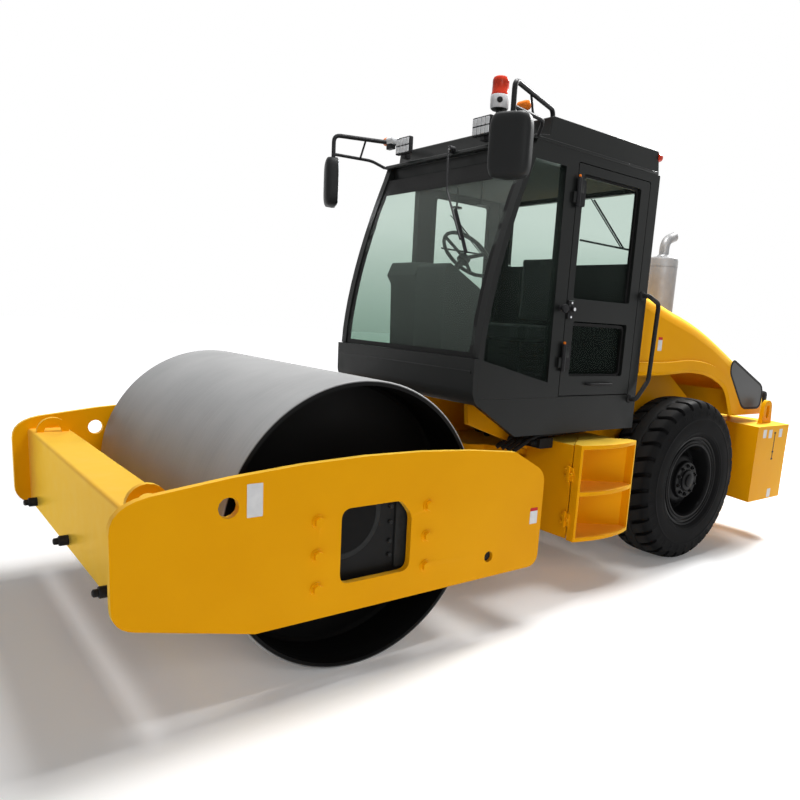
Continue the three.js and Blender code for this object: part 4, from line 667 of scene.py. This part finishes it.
# ---- Hood and muffler ----
# A one-piece moulded hood over the engine, with a raised lip round each wheel arch, a dark perforated grille
# behind it, and a silver muffler that stands out of its top with a bent tail pipe.
HOOD_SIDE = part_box("hood")[1].y
softened("hood", yellow_enamel, 0.005, "hood")
LIP_HEIGHT = 0.018
arch_line = [(-0.872, 1.660), (-1.255, 1.660), (-1.62, 1.688), (-1.95, 1.655), (-2.29, 1.53), (-2.455, 1.235)]
lip_section = np.array([(-0.036, -0.004), (-0.036, 0.004), (-0.030, LIP_HEIGHT), (0.048, LIP_HEIGHT),
                        (0.074, 0.002), (0.074, -0.004)])
GRILLE_CORNERS = [(-2.335, 1.730), (-2.965, 1.470), (-2.960, 1.262), (-2.620, 1.266), (-2.305, 1.620)]


def perforated():
    """Black painted sheet with rows of round holes: holes show where the distance to the nearest centre of a
    staggered grid is small, deeper than the sheet and painted near black as the shade seen through them."""
    made, tree, shader = finish_nodes("perforated_sheet")
    cells = node(tree, "TexVoronoi", {"Vector": place_of(tree), "Scale": 75, "Randomness": 0.0})
    hole = spread(tree, cells.outputs["Distance"], 1, 0, 0.30, 0.40)
    feed(tree, shader, {
        # the holes' near black is painted shade
        "Base Color": blended(tree, hole, (0.022, 0.023, 0.024), (0.003, 0.003, 0.003)),
        "Roughness": spread(tree, hole, 0.42, 0.9, 0, 1)})
    raised(tree, shader, hole, -0.6, 0.002)
    return made, "black_paint"


grille_sheet = perforated()
edge_rubber = plain("edge_rubber", "black_paint", (0.012, 0.012, 0.013), (0.022, 0.022, 0.022), 0.48, 120, 0.2)
for hand, side in SIDES:
    lip_path = route([(x, side * HOOD_SIDE, z) for x, z in arch_line], 0.15, 8)
    lip = swept(lip_path, lip_section * (side, 1), (0, side, 0))
    piece(f"arch_lip_{hand}", [lip], yellow_enamel, "hood", 30)
    outline = rounded_outline(GRILLE_CORNERS, 0.075, 7)
    sheet = prism(outline, side * (HOOD_SIDE - 0.002), side * (HOOD_SIDE + 0.002))
    piece(f"hood_grille_{hand}", [sheet], grille_sheet, "hood")
    edge_path = np.insert(outline, 1, side * (HOOD_SIDE + 0.001), 1)
    edge = swept(edge_path, ring_section(0.008, 8) * (1.5, 0.6), (0, side, 0), True)
    piece(f"grille_edge_{hand}", [edge], edge_rubber, "hood", 60)
    sticker(f"hood_sticker_{hand}", (-1.141, 1.842), 0.055, 0.110, side * HOOD_SIDE, "hood", 0.2)

rear_parts = [block((-3.100, -0.46, 1.245), (-3.085, 0.46, 1.42), 0.02, "X", 0.004)]
for z in 1.262 + 0.025 * np.arange(6):
    slat = [(-3.118, z), (-3.098, z + 0.018), (-3.098, z + 0.012), (-3.116, z - 0.004)]
    rear_parts.append(prism(slat, -0.44, 0.44))
for y in (-0.655, 0.655):
    rear_parts.append(block((-3.138, y - 0.075, 1.262), (-3.075, y + 0.075, 1.420), 0.040, "X", 0.014))
piece("hood_rear_grille", rear_parts, edge_rubber, "hood")

silver = plain("muffler_silver", "muffler_metal", (0.33, 0.33, 0.33), (0.28, 0.28, 0.28), 0.42, 14, 0.12,
               0.0006, 0.35)
MUFFLER_X, MUFFLER_Y, MUFFLER_R, MUFFLER_TOP = AXLE_X - 0.340, 0.200, 0.135, 2.610
SEAM_ZS = (2.02, 2.52)
# the can's foot starts inside the hood, because the hood's top slopes there
can = [(0, 1.94), (MUFFLER_R, 1.94), (MUFFLER_R, 2.40), (MUFFLER_R, 2.585), (MUFFLER_R - 0.006, 2.600),
       (MUFFLER_R - 0.025, MUFFLER_TOP), (0.060, MUFFLER_TOP + 0.010), (0.050, MUFFLER_TOP + 0.024),
       (0, MUFFLER_TOP + 0.024)]
seam = [(0, 0), (MUFFLER_R - 0.001, 0), (MUFFLER_R, 0.002), (MUFFLER_R, 0.008), (MUFFLER_R - 0.001, 0.010),
        (0, 0.010)]
pipe_path = route([(MUFFLER_X, MUFFLER_Y, MUFFLER_TOP), (MUFFLER_X, MUFFLER_Y, MUFFLER_TOP + 0.150),
                   (MUFFLER_X - 0.130, MUFFLER_Y, MUFFLER_TOP + 0.200)], 0.075, 10)
muffler = [spun(can, (MUFFLER_X, MUFFLER_Y, 0), "Z", 64), tube(pipe_path, 0.044, 24, (0, 1, 0))]
muffler += [spun(seam, (MUFFLER_X, MUFFLER_Y, z), "Z", 64) for z in SEAM_ZS]
piece("muffler_can", muffler, silver, "hood", 40, "muffler")
# a thin black disc just past the tail pipe's end stands for its bore: painted shade
tail = (pipe_path[-1] - pipe_path[-2]) / np.linalg.norm(pipe_path[-1] - pipe_path[-2])
mouth_path = pipe_path[-1] + np.outer((0.001, 0.0015), tail)
piece("muffler_mouth_shade", [tube(mouth_path, 0.038, 24, (0, 1, 0))], pin_black, "hood")

# ---- Ballast marks ----
# Four blank stickers on the outer face of the ballast block, and between them a narrow tool slot drawn as a
# thin flat black shape, painted shade of the slot, that is wider at its two ends and near its foot.
BALLAST_SIDE = 1.0
BALLAST_STICKERS = ((-2.642, 1.054, 0.062, 0.080), (-2.752, 1.048, 0.062, 0.080), (-2.954, 1.047, 0.062, 0.080),
                    (-2.886, 0.455, 0.066, 0.085))
for hand, side in SIDES:
    for number, (x, z, width, height) in enumerate(BALLAST_STICKERS):
        sticker(f"ballast_sticker_{number}_{hand}", (x, z), width, height, side * BALLAST_SIDE, "root")
    near, far = side * BALLAST_SIDE, side * (BALLAST_SIDE + 0.001)
    # the slot is a thin flat black shape: painted shade
    slot = [block((-2.852, near, 0.80), (-2.838, far, 1.06), 0.005)]
    slot += [block((-2.862, near, z - 0.010), (-2.828, far, z + 0.006), 0.004) for z in (0.80, 0.87, 1.055)]
    piece(f"ballast_slot_shade_{hand}", slot, pin_black)

# ---- Cab shell ----
# Welded box sections and sheet in satin charcoal enamel: a floor tub, two side frames, a rear panel and a
# roof with a lipped band round it. Doors hang on two black hinges each, on the front pillar of their opening.
CAB_REAR, CAB_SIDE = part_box("cab_side_left")[0].x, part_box("cab_tub")[1].y
ROOF_FRONT, ROOF_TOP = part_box("cab_roof")[1].x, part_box("cab_roof")[1].z
LIP_Z, LEDGE_Z = 3.088, 1.615
charcoal = enamel("charcoal_enamel", "charcoal_paint", (0.0075, 0.0084, 0.0080), (0.0105, 0.0115, 0.011), 0.34,
                  0.04, 0.10, 0.13)
for name in ("cab_tub", "cab_rear_panel", "cab_roof"):
    softened(name, charcoal, 0.005)
for hand, side in SIDES:
    softened(f"cab_side_{hand}", charcoal, 0.005)
    softened(f"door_{hand}", charcoal, 0.004, f"door_{hand}")
front_x, rear_x, lip_y = ROOF_FRONT - 0.02, CAB_REAR + 0.03, CAB_SIDE - 0.004
lip_path = route([(front_x, 0, LIP_Z), (front_x, lip_y, LIP_Z), (rear_x, lip_y, LIP_Z), (rear_x, -lip_y, LIP_Z),
                  (front_x, -lip_y, LIP_Z), (front_x, -0.001, LIP_Z)], 0.03, 4)
lip = [(-0.010, -0.010), (0.006, -0.010), (0.010, -0.005), (0.010, 0.005), (0.006, 0.010), (-0.010, 0.010)]
piece("roof_lip", [swept(lip_path, lip)], charcoal)
ledge = [(-0.012, -0.012), (0.006, -0.010), (0.007, 0.004), (-0.004, 0.014), (-0.012, 0.014)]
ledge_path = [(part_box("cab_tub")[1].x - 0.002, y, LEDGE_Z) for y in np.linspace(-0.80, 0.80, 9)]
piece("skirt_ledge", [swept(ledge_path, ledge)], charcoal)

# ---- Cab glass ----
# Tinted safety glass, held in black rubber channels along its edges, its tint painted darker towards its foot
# and paler towards its head as painted shade and light. The windscreen has a paler film, a painted reflection,
# and black borders whose deep head band is also painted shade of the roof inside; each door's panes have a
# seal inside, and the roof a lining.
# the glass tint at its foot and head: painted shade at the foot and painted light at the head
SHADED_FOOT_TINT, LIT_HEAD_TINT, FILM_SHARE = (0.70, 0.785, 0.74), (0.92, 0.965, 0.94), 0.07
# the border's head band is deep: partly its black border, partly painted shade of the roof inside
BORDER_SIDE, BORDER_FOOT, BORDER_HEAD_AND_SHADE = 0.045, 0.035, 0.125
PANES = ((1.592, 1.955), (2.095, 2.945))


def tinted_glass(name, low_z, high_z, film=(0.070, 0.088, 0.078), share=FILM_SHARE):
    """Tinted glass: a small share of a satin film in its own colour over a clear layer, whose tint goes from a
    deep green grey at a low height to a pale one at a high one, painted shade below and painted light above."""
    made, tree, shader = finish_nodes(name)
    split = node(tree, "SeparateXYZ", {0: place_of(tree)})
    height = spread(tree, split.outputs["Z"], 0, 1, low_z, high_z)
    feed(tree, shader, {"Base Color": film, "Roughness": 0.35, "Specular IOR Level": 0.3})
    clear = node(tree, "BsdfTransparent", {"Color": blended(tree, height, SHADED_FOOT_TINT, LIT_HEAD_TINT)})
    mixed = node(tree, "MixShader", {"Fac": share, 1: clear.outputs[0], 2: shader.outputs[0]})
    feed(tree, tree.nodes["Material Output"], {"Surface": mixed.outputs[0]})
    return made, "tinted_glass"


cab_glass = tinted_glass("cab_glass", 1.7, 2.6)
# the windscreen's pale film is a painted reflection over the glass
softened("windscreen", tinted_glass("screen_glass", 1.7, 2.7, (0.40, 0.43, 0.40), 0.115), 0.0)
for name in ("rear_glass", "quarter_glass_left", "quarter_glass_right"):
    softened(name, cab_glass, 0.0)
for hand, side in SIDES:
    softened(f"door_glass_{hand}", cab_glass, 0.0, f"door_{hand}")

edge_seal = plain("edge_seal", "black_paint", (0.004, 0.004, 0.004), (0.007, 0.007, 0.007), 0.45, 90, 0.1)
screen_low, screen_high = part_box("windscreen")
# the windscreen's outer face: for each height, the furthest front of the glass at that height or above
screen_at = np.array([v.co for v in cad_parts["windscreen"].data.vertices])
screen_z = np.linspace(screen_low.z + 0.002, screen_high.z - 0.002, 30)
order = np.argsort(screen_at[:, 2])
front_of = np.maximum.accumulate(screen_at[order, 0][::-1])[::-1]
screen_x = np.interp(screen_z, screen_at[order, 2], front_of) + 0.002


def screen_band(y_low, y_high, z_low, z_high):
    """A thin band on the windscreen's outer face between two heights and two distances from the middle."""
    z = np.linspace(z_low, z_high, 24)
    x = np.interp(z, screen_z, screen_x)
    back, front = np.column_stack([x - 0.003, z]), np.column_stack([x + 0.0015, z])
    return prism(np.concatenate([back, front[::-1]]), y_low, y_high)


edge_y, inner_y = screen_high.y, screen_high.y - BORDER_SIDE
piece("windscreen_border", [
    screen_band(-edge_y, -inner_y, screen_low.z, screen_high.z),
    screen_band(inner_y, edge_y, screen_low.z, screen_high.z),
    screen_band(-inner_y, inner_y, screen_low.z, screen_low.z + BORDER_FOOT),
    screen_band(-inner_y, inner_y, screen_high.z - BORDER_HEAD_AND_SHADE, screen_high.z)], edge_seal)
seal_section = [(-0.011, -0.010), (0.011, -0.010), (0.011, 0.010), (-0.011, 0.010)]
for hand, side in SIDES:
    pane_low, pane_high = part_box(f"door_glass_{hand}")
    seal_y = side * (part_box("door_left")[0].y + 0.012)
    rear_x, front_x, seals = pane_low.x + 0.045, pane_high.x - 0.040, []
    for foot, head in PANES:
        outline = rounded_outline([(rear_x, foot), (front_x, foot), (front_x, head), (rear_x, head)], 0.045)
        seals.append(swept(np.insert(outline, 1, seal_y, 1), seal_section, (0, side, 0), True))
    piece(f"door_seals_{hand}", seals, edge_seal, f"door_{hand}")
roof_lining = plain("roof_lining", "cab_plastic", (0.052, 0.055, 0.052), (0.070, 0.073, 0.070), 0.8, 120, 0.3)
piece("roof_lining", [block((-0.66, -0.72, 2.985), (0.50, 0.72, 2.998), 0.04, "Z", 0.003)], roof_lining)

# ---- Cab fittings ----
# Black hinges with an orange grease cap, a round latch and pull on each door, work lamps, marker lamps, the
# wiper, and the T knobs under the roof.
amber = plain("amber_lens", "lamp_lens", (0.80, 0.20, 0.015), (0.72, 0.16, 0.012), 0.22, 60, 0.1)
clear_lens = plain("clear_lens", "lamp_lens", (0.78, 0.79, 0.80), (0.68, 0.69, 0.70), 0.14, 120, 0.2)
lamp_red = plain("red_lens", "lamp_lens", (0.60, 0.050, 0.022), (0.50, 0.036, 0.016), 0.22, 60, 0.1)
DOOR_FACE, HINGE_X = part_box("door_left")[1].y - 0.034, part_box("door_left")[1].x
HINGE_ZS, LATCH_X, LATCH_Z = (1.72, 2.82), HINGE_X - 0.055, 2.055
PULL_REAR, PULL_FRONT, PULL_Z, PULL_OUT = -0.42, -0.16, 1.533, 0.034
hinge_barrel = [(0, -0.095), (0.014, -0.095), (0.016, -0.090), (0.016, 0.090), (0.014, 0.095), (0, 0.095)]
grease_cap = [(0, 0.094), (0.0095, 0.094), (0.0095, 0.106), (0.006, 0.112), (0, 0.112)]
latch_knob = [(0, 0), (0.034, 0), (0.036, 0.008), (0.030, 0.020), (0.012, 0.022), (0.012, 0.030),
              (0.020, 0.034), (0.020, 0.044), (0, 0.046)]
middle_stud = [(0, 0.040), (0.012, 0.040), (0.012, 0.0462), (0, 0.0468)]
side_stud = [(0, 0.012), (0.009, 0.012), (0.008, 0.019), (0, 0.021)]
post_knob = [(0, 0), (0.020, 0), (0.020, 0.014), (0.010, 0.018), (0.010, 0.034), (0.028, 0.040), (0.032, 0.050),
             (0.028, 0.060), (0, 0.063)]
# each bar across the door glass: its two ends in x and z, its radius and its upright
DOOR_BARS = (((-0.012, 2.532), (-0.595, 2.525), 0.007, (0, 0, 1)),
             ((-0.119, 2.814), (-0.499, 2.531), 0.006, (0, 1, 0)),
             ((-0.090, 2.814), (-0.470, 2.531), 0.004, (0, 1, 0)))
BARS_Y = 0.772
for hand, side in SIDES:
    door, face = f"door_{hand}", side * DOOR_FACE
    hinge, caps = [], []
    for z in HINGE_ZS:
        pivot = (HINGE_X - 0.012, side * (DOOR_FACE + 0.020), z)
        hinge.append(spun(hinge_barrel, pivot, "Z", 20))
        hinge.append(block((HINGE_X - 0.095, side * (DOOR_FACE - 0.004), z - 0.085),
                           (HINGE_X - 0.010, side * (DOOR_FACE + 0.012), z + 0.085), 0.012, "Y", 0.002))
        caps.append(spun(grease_cap, pivot, "Z", 16))
    piece(f"door_hinges_{hand}", hinge, pin_black, door)
    piece(f"hinge_caps_{hand}", caps, amber, door)
    grip = face + side * PULL_OUT
    pull_path = route([(PULL_FRONT, face, PULL_Z), (PULL_FRONT, grip, PULL_Z), (PULL_REAR, grip, PULL_Z),
                       (PULL_REAR, face, PULL_Z)], 0.018, 5)
    piece(f"door_pull_{hand}", [tube(pull_path, 0.009, 12)], pin_black, door, 50)
    latch = [spun(latch_knob, (LATCH_X, face, LATCH_Z), "Y", 28, side),
             block((LATCH_X - 0.030, face, LATCH_Z - 0.070),
                   (LATCH_X + 0.030, face + side * 0.014, LATCH_Z + 0.060), 0.014, "Y", 0.003)]
    piece(f"door_latch_{hand}", latch, pin_black, door)
    studs = [spun(middle_stud, (LATCH_X, face, LATCH_Z), "Y", 12, side)]
    studs += [spun(side_stud, (LATCH_X, face, z), "Y", 12, side) for z in (2.002, 2.098)]
    piece(f"latch_studs_{hand}", studs, chrome, door)
    post = (CAB_REAR + 0.972, side * (CAB_SIDE - 0.002), LATCH_Z)
    piece(f"post_knob_{hand}", [spun(post_knob, post, "Y", 28, side)], pin_black)
    bars = [tube([(start[0], side * BARS_Y, start[1]), (end[0], side * BARS_Y, end[1])], radius, 10, upright)
            for start, end, radius, upright in DOOR_BARS]
    piece(f"door_bars_{hand}", bars, pin_black, door, 50)

WORK_LAMP_YS, work_x = (-0.523, 0.371), ROOF_FRONT + 0.015
lamp_body, lamp_glass = [], []
for y in WORK_LAMP_YS:
    lamp_body.append(block((work_x, y - 0.090, 3.148), (work_x + 0.035, y + 0.090, 3.268), 0.008, "X", 0.004))
    lamp_body.append(block((work_x - 0.030, y - 0.02, 3.118), (work_x + 0.020, y + 0.02, 3.168), 0.004, "X"))
    for number in range(8):
        row, column = divmod(number, 4)
        a, b = y - 0.063 + 0.042 * column, 3.181 + 0.054 * row
        lamp_glass.append(block((work_x + 0.030, a - 0.018, b - 0.023), (work_x + 0.040, a + 0.018, b + 0.023),
                                0.004, "X", 0.003))
piece("work_lamp_bodies", lamp_body, pin_black)
piece("work_lamp_lenses", lamp_glass, clear_lens)


def marker(name, place, axis, length, radius, finish):
    """A rounded marker lens: a drum with a domed end, turned about an axis."""
    dome = [(0, 0), (radius, 0), (radius, 0.7 * length), (0.9 * radius, 0.88 * length),
            (0.6 * radius, 0.97 * length), (0, length)]
    piece(name, [spun(dome, place, axis, 28)], finish)


marker("marker_amber_right", (0.53, -0.845, 3.300), "Y", -0.055, 0.032, amber)
marker("marker_clear_right", (0.53, -0.845, 3.300), "Y", 0.100, 0.032, clear_lens)
marker("marker_amber_left", (0.50, 0.600, 3.312), "Y", 0.085, 0.032, amber)
marker_feet = [block((0.51, -0.850, 3.235), (0.55, -0.780, 3.285), 0.006),
               block((0.48, 0.600, 3.238), (0.52, 0.640, 3.290), 0.006)]
piece("marker_feet", marker_feet, pin_black)
for hand, side in SIDES:
    marker(f"marker_red_{hand}", (CAB_REAR + 0.05, side * 0.815, 3.20), "X", -0.045, 0.030, lamp_red)

wiper_path = route([(0.585, 0.02, 3.115), (0.625, 0.04, 3.110), (0.690, 0.135, 2.81), (0.790, 0.43, 2.46)],
                   0.02, 5)
blade_z = (2.68, 2.37)
blade_path = np.column_stack([np.interp(blade_z, screen_z, screen_x) + 0.010, (0.24, 0.50), blade_z])
blade = [(-0.006, -0.012), (0.006, -0.012), (0.003, 0.012), (-0.003, 0.012)]
wiper_motor = [(0, 0), (0.024, 0), (0.024, 0.040), (0.012, 0.050), (0, 0.050)]
wiper = [tube(wiper_path, 0.008, 10, (0, 1, 0)), swept(blade_path, blade, (0, 1, 0)),
         spun(wiper_motor, (0.560, 0.02, 3.115), "X", 20)]
piece("wiper", wiper, pin_black)
roof_knob = [(0, 2.815), (0.042, 2.818), (0.042, 2.830), (0.008, 2.838), (0.007, 3.00), (0, 3.00)]
piece("roof_knobs", [spun(roof_knob, (0.10, y, 0), "Z", 20) for y in (-0.463, -0.167)], pin_black)

# ---- Driver's place ----
# A moulded console with a lever, the steering column with a soft-rimmed wheel, and a sprung seat with a
# cushion and a back in dark cloth.
cab_plastic = plain("cab_plastic", "cab_plastic", (0.048, 0.051, 0.050), (0.062, 0.066, 0.064), 0.55, 260, 0.35,
                    0.0006)
softened("console", cab_plastic, 0.008)
softened("steering_column", cab_plastic, 0.003)
softened("seat_base", black_enamel, 0.004)
shroud = [(0.36, 1.46), (0.742, 1.46), (0.742, 2.30), (0.70, 2.325), (0.40, 2.165), (0.36, 2.12)]
piece("column_shroud", [prism(rounded_outline(shroud, 0.02, 4), -0.105, 0.235, "Y", 0.006)], cab_plastic)
BELLOWS_X, FOLDS, FOLD_PITCH, FOLD_FOOT = -0.31, 12, 0.026, 1.50


def bellows():
    """Folds of two radii by turns, squared off: x and y grow by 0.55 + 0.45 r / the larger of |x| and |y|."""
    folds = [(0.205 + 0.018 * (number % 2), FOLD_FOOT + FOLD_PITCH * number) for number in range(FOLDS)]
    points, faces = spun([(0, FOLD_FOOT), *folds, (0, 1.80)], (0, 0, 0), "Z", 40)
    flat = points[..., :2] * (1.0, 0.98)
    reach = np.maximum(np.linalg.norm(flat, axis=-1, keepdims=True), 1e-9)
    square = np.maximum(np.abs(flat).max(-1, keepdims=True), 1e-9)
    squared = flat * (0.55 + 0.45 * reach / square)
    return np.concatenate([squared, points[..., 2:]], -1) + (BELLOWS_X, 0, 0), faces


piece("seat_bellows", [bellows()], hose_rubber, "root", 60)
lever_knob = [(0, 1.985), (0.020, 1.992), (0.034, 2.012), (0.036, 2.03), (0.030, 2.05), (0.016, 2.062),
              (0, 2.066)]
lever_path = route([(0.52, -0.46, 2.02), (0.53, -0.54, 2.03), (0.535, -0.585, 2.06)], 0.03, 5)
lever = [tube(lever_path, 0.010, 10, (1, 0, 0)), spun(lever_knob, (0.535, -0.59, 0.045), "Z", 24)]
piece("console_lever", lever, (pin_black[0], "cab_plastic"))
CUSHION_CELL, CUSHION_CAP, CUSHION_PRESSURE, CUSHION_FRAMES, CUSHION_FILL = 0.010, 0.014, 4.0, 20, 0.7


def seat_cloth():
    """Dark woven cloth: two crossed waves make the weave on the cushion's own axes, and a slow noise shades
    it."""
    made, tree, shader = finish_nodes("seat_cloth")
    weaving = {"Vector": place_of(tree), "Scale": 110}
    waves = [node(tree, "TexWave", weaving, bands_direction=axis).outputs["Fac"] for axis in ("X", "Y")]
    weave = node(tree, "Math", {0: waves[0], 1: waves[1]}, operation="MULTIPLY").outputs[0]
    shade = noise(tree, 12, 5)
    yarn = blended(tree, weave, (0.012, 0.012, 0.014), (0.032, 0.032, 0.036))
    feed(tree, shader, {
        "Base Color": blended(tree, spread(tree, shade, 0, 0.35), yarn, (0.05, 0.05, 0.055)),
        "Roughness": spread(tree, shade, 0.75, 0.9),
        "Sheen Weight": 0.25})
    raised(tree, shader, weave, 0.35, 0.0008)
    return made, "seat_fabric"


def cushion(name, node, shrink, cloth):
    """A padded form: the node's solid drawn in by a share about its middle, remeshed in cells, blown up as
    cloth from inside with no point moving further than a cap, and smoothed by one subdivision."""
    def drawn_in(shape):
        """Each point's offset from the mean of the points is multiplied by the shrink along each axis."""
        middle = sum((v.co for v in shape.verts), Vector()) / len(shape.verts)
        bmesh.ops.scale(shape, vec=shrink, space=Matrix.Translation(-middle), verts=shape.verts)

    mesh = solid_copy(node, name)
    merged(mesh, 2e-5, drawn_in)
    made = stood(name, mesh)
    remesh = made.modifiers.new("cells", "REMESH")
    remesh.mode, remesh.voxel_size = "VOXEL", CUSHION_CELL
    bpy.context.view_layer.update()
    made.data = bpy.data.meshes.new_from_object(made.evaluated_get(bpy.context.evaluated_depsgraph_get()))
    made.modifiers.clear()
    start, ends = np.empty((2, len(made.data.vertices) * 3))
    made.data.vertices.foreach_get("co", start)
    soft = made.modifiers.new("padding", "CLOTH")
    soft.settings.quality = 6
    soft.settings.use_pressure = True
    soft.settings.uniform_pressure_force = CUSHION_PRESSURE
    soft.settings.effector_weights.gravity = 0
    soft.point_cache.frame_start, soft.point_cache.frame_end = 1, CUSHION_FRAMES
    for number in range(CUSHION_FRAMES):
        bpy.context.scene.frame_set(number + 1)
    blown = made.evaluated_get(bpy.context.evaluated_depsgraph_get()).to_mesh()
    blown.vertices.foreach_get("co", ends)
    step = (ends - start).reshape(-1, 3)
    length = np.maximum(np.linalg.norm(step, axis=1), 1e-9)[:, None]
    step *= np.minimum(1, CUSHION_CAP / length)
    made.data.vertices.foreach_set("co", (start.reshape(-1, 3) + step).ravel())
    made.modifiers.clear()
    bpy.context.scene.frame_set(1)
    dressed(made, cloth, "root", node)
    rounding = made.modifiers.new("rounding", "SUBSURF")
    rounding.levels = rounding.render_levels = 1


cloth = seat_cloth()
cushion("seat_cushion_padded", "seat_cushion", (0.94, 0.93, 0.80), cloth)
cushion("seat_back_padded", "seat_back", (0.80, 0.92, 0.95), cloth)

# ---- Beacon, mirrors and handrails ----
# A red beacon on a white base stands on a bracket from the roof. Each mirror is a smooth moulded housing on
# two bent tubes. The handrails are bent tube in black sleeve.
white_base = plain("beacon_white", "lamp_lens", (0.74, 0.74, 0.75), (0.64, 0.64, 0.65), 0.30, 40, 0.08)
beacon_low, beacon_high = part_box("beacon")
BEACON = (beacon_high.x - 0.064, 0.380, 0)
beacon_foot = [(0, 3.242), (0.022, 3.242), (0.022, 3.332), (0.050, 3.334), (0.056, 3.342), (0, 3.343)]
beacon_base = [(0, 3.340), (0.058, 3.340), (0.062, 3.346), (0.064, 3.416), (0.061, 3.424), (0, 3.424)]
beacon_dome = [(0, 3.422), (0.0600, 3.422), (0.0600, 3.434), (0.0575, 3.438), (0.0555, 3.500), (0.0565, 3.503),
               (0.0555, 3.520), (0.050, 3.534), (0.036, 3.542), (0.016, 3.545), (0, 3.545)]
beacon_eye = [(0, -0.010), (0.019, -0.010), (0.019, 0.002), (0.015, 0.0045), (0, 0.005)]
EYE_TURN = radians(48)


def placed(shape, offset, turn):
    """A shape turned about the Z axis by an angle and then moved by an offset."""
    points, faces = shape
    return np.reshape(points, (-1, 3)) @ np.array(Matrix.Rotation(turn, 3, "Z")).T + offset, faces


bracket = block((beacon_low.x, 0.335, 3.241), (BEACON[0] + 0.04, 0.425, 3.252), 0.015, "Z", 0.001)
piece("beacon_bracket", [spun(beacon_foot, BEACON, "Z", 32), bracket], charcoal)
piece("beacon_base", [spun(beacon_base, BEACON, "Z", 48)], white_base)
piece("beacon_eye", [placed(spun(beacon_eye, (0.0635, 0, 3.384), "X", 24), BEACON, EYE_TURN)], pin_black)
piece("beacon_dome", [spun(beacon_dome, BEACON, "Z", 48)], (lamp_red[0], "beacon_red"), node="beacon")

mirror_black = plain("mirror_black", "charcoal_plastic", (0.013, 0.0135, 0.014), (0.020, 0.021, 0.021), 0.46,
                     300, 0.25, 0.0004)
mirror_face = plain("mirror_face", "chromed_rod", (0.60, 0.62, 0.64), (0.55, 0.57, 0.59), 0.03, 20, 0.0, 0.0001,
                    1.0)
HEAD_X, HEAD_Y, HEAD_Z, HEAD_TURN = CAB_REAR + 1.715, 1.005, 2.935, 0.45
HEAD_DEPTH, HEAD_BACK, HEAD_HALF_WIDTH, HEAD_HALF_HEIGHT = 0.068, -0.035, 0.128, 0.190
HEAD_RINGS, HEAD_POINTS = 25, 48
ARM_X, ARM_Z = CAB_REAR + 1.15, ROOF_TOP + 0.050
RAIL_OUT, RAIL_HEAD, RAIL_FOOT = 0.062, 2.20, 1.412


def mirror_head():
    """A housing as rings stacked in height: each ring is a superellipse, cut flat behind the mirror, and its
    half depths shrink towards both ends as the fourth root of one less the height's fifth power."""
    v = np.linspace(-1, 1, HEAD_RINGS)[:, None]
    u = np.linspace(0, 2 * pi, HEAD_POINTS, endpoint=False)[None, :]
    size = np.maximum(1 - np.abs(v) ** 5, 0.0) ** 0.25
    depth = np.maximum(np.sign(np.cos(u)) * np.abs(np.cos(u)) ** 0.62 * HEAD_DEPTH, HEAD_BACK)
    width = np.sign(np.sin(u)) * np.abs(np.sin(u)) ** 0.55 * HEAD_HALF_WIDTH
    points = np.stack([size * depth, size * width, v * HEAD_HALF_HEIGHT + 0 * u], -1)
    return points, grid_quads(HEAD_RINGS, HEAD_POINTS)


mirror_glass = block((-0.0365, -0.106, -0.164), (-0.0345, 0.106, 0.164), 0.03, "X")
rail_foot = [(0, 0), (0.032, 0), (0.032, 0.008), (0.020, 0.014), (0, 0.014)]
for hand, side in SIDES:
    y, turn = side * HEAD_Y, side * HEAD_TURN
    head = placed(mirror_head(), (HEAD_X, y, HEAD_Z), turn)
    piece(f"mirror_housing_{hand}", [head], mirror_black, "root", 60, f"mirror_{hand}")
    piece(f"mirror_glass_{hand}", [placed(mirror_glass, (HEAD_X, y, HEAD_Z), turn)], mirror_face)
    upper = route([(ARM_X, side * 0.78, ROOF_TOP), (ARM_X, side * 0.78, ARM_Z), (HEAD_X, y, ARM_Z),
                   (HEAD_X, y, HEAD_Z + 0.15)], 0.05, 6)
    lower = route([(CAB_REAR + 1.335, side * 0.846, 3.093), (CAB_REAR + 1.40, side * 0.945, 3.148),
                   (HEAD_X, y, HEAD_Z + 0.214)], 0.04, 5)
    strut = [((ARM_X + HEAD_X) / 2 + 0.05, side * 0.905, ARM_Z), (CAB_REAR + 1.50, side * 0.955, 3.150)]
    arms = [tube(upper, 0.016, 12, (0, side, 0.3)), tube(lower, 0.012, 12, (0.3, 0, 1)),
            tube(strut, 0.008, 10, (1, 0, 0))]
    piece(f"mirror_arms_{hand}", arms, pin_black, "root", 50)
    wall, out = side * CAB_SIDE, side * (CAB_SIDE + RAIL_OUT)
    rail_at = [(0.060, wall, RAIL_HEAD), (0.060, out, RAIL_HEAD), (-0.078, out, 2.148), (-0.056, out, 1.56),
               (0.080, out, RAIL_FOOT), (0.080, wall, RAIL_FOOT)]
    rail = route(np.array(rail_at) + (CAB_REAR, 0, 0), 0.032, 6)
    feet = [spun(rail_foot, end, "Y", 24, side) for end in (rail[0], rail[-1])]
    piece(f"handrail_sleeved_{hand}", [tube(rail, 0.0175, 16, (1, 0, 0.2)), *feet], edge_rubber, "root", 50,
          f"handrail_{hand}")
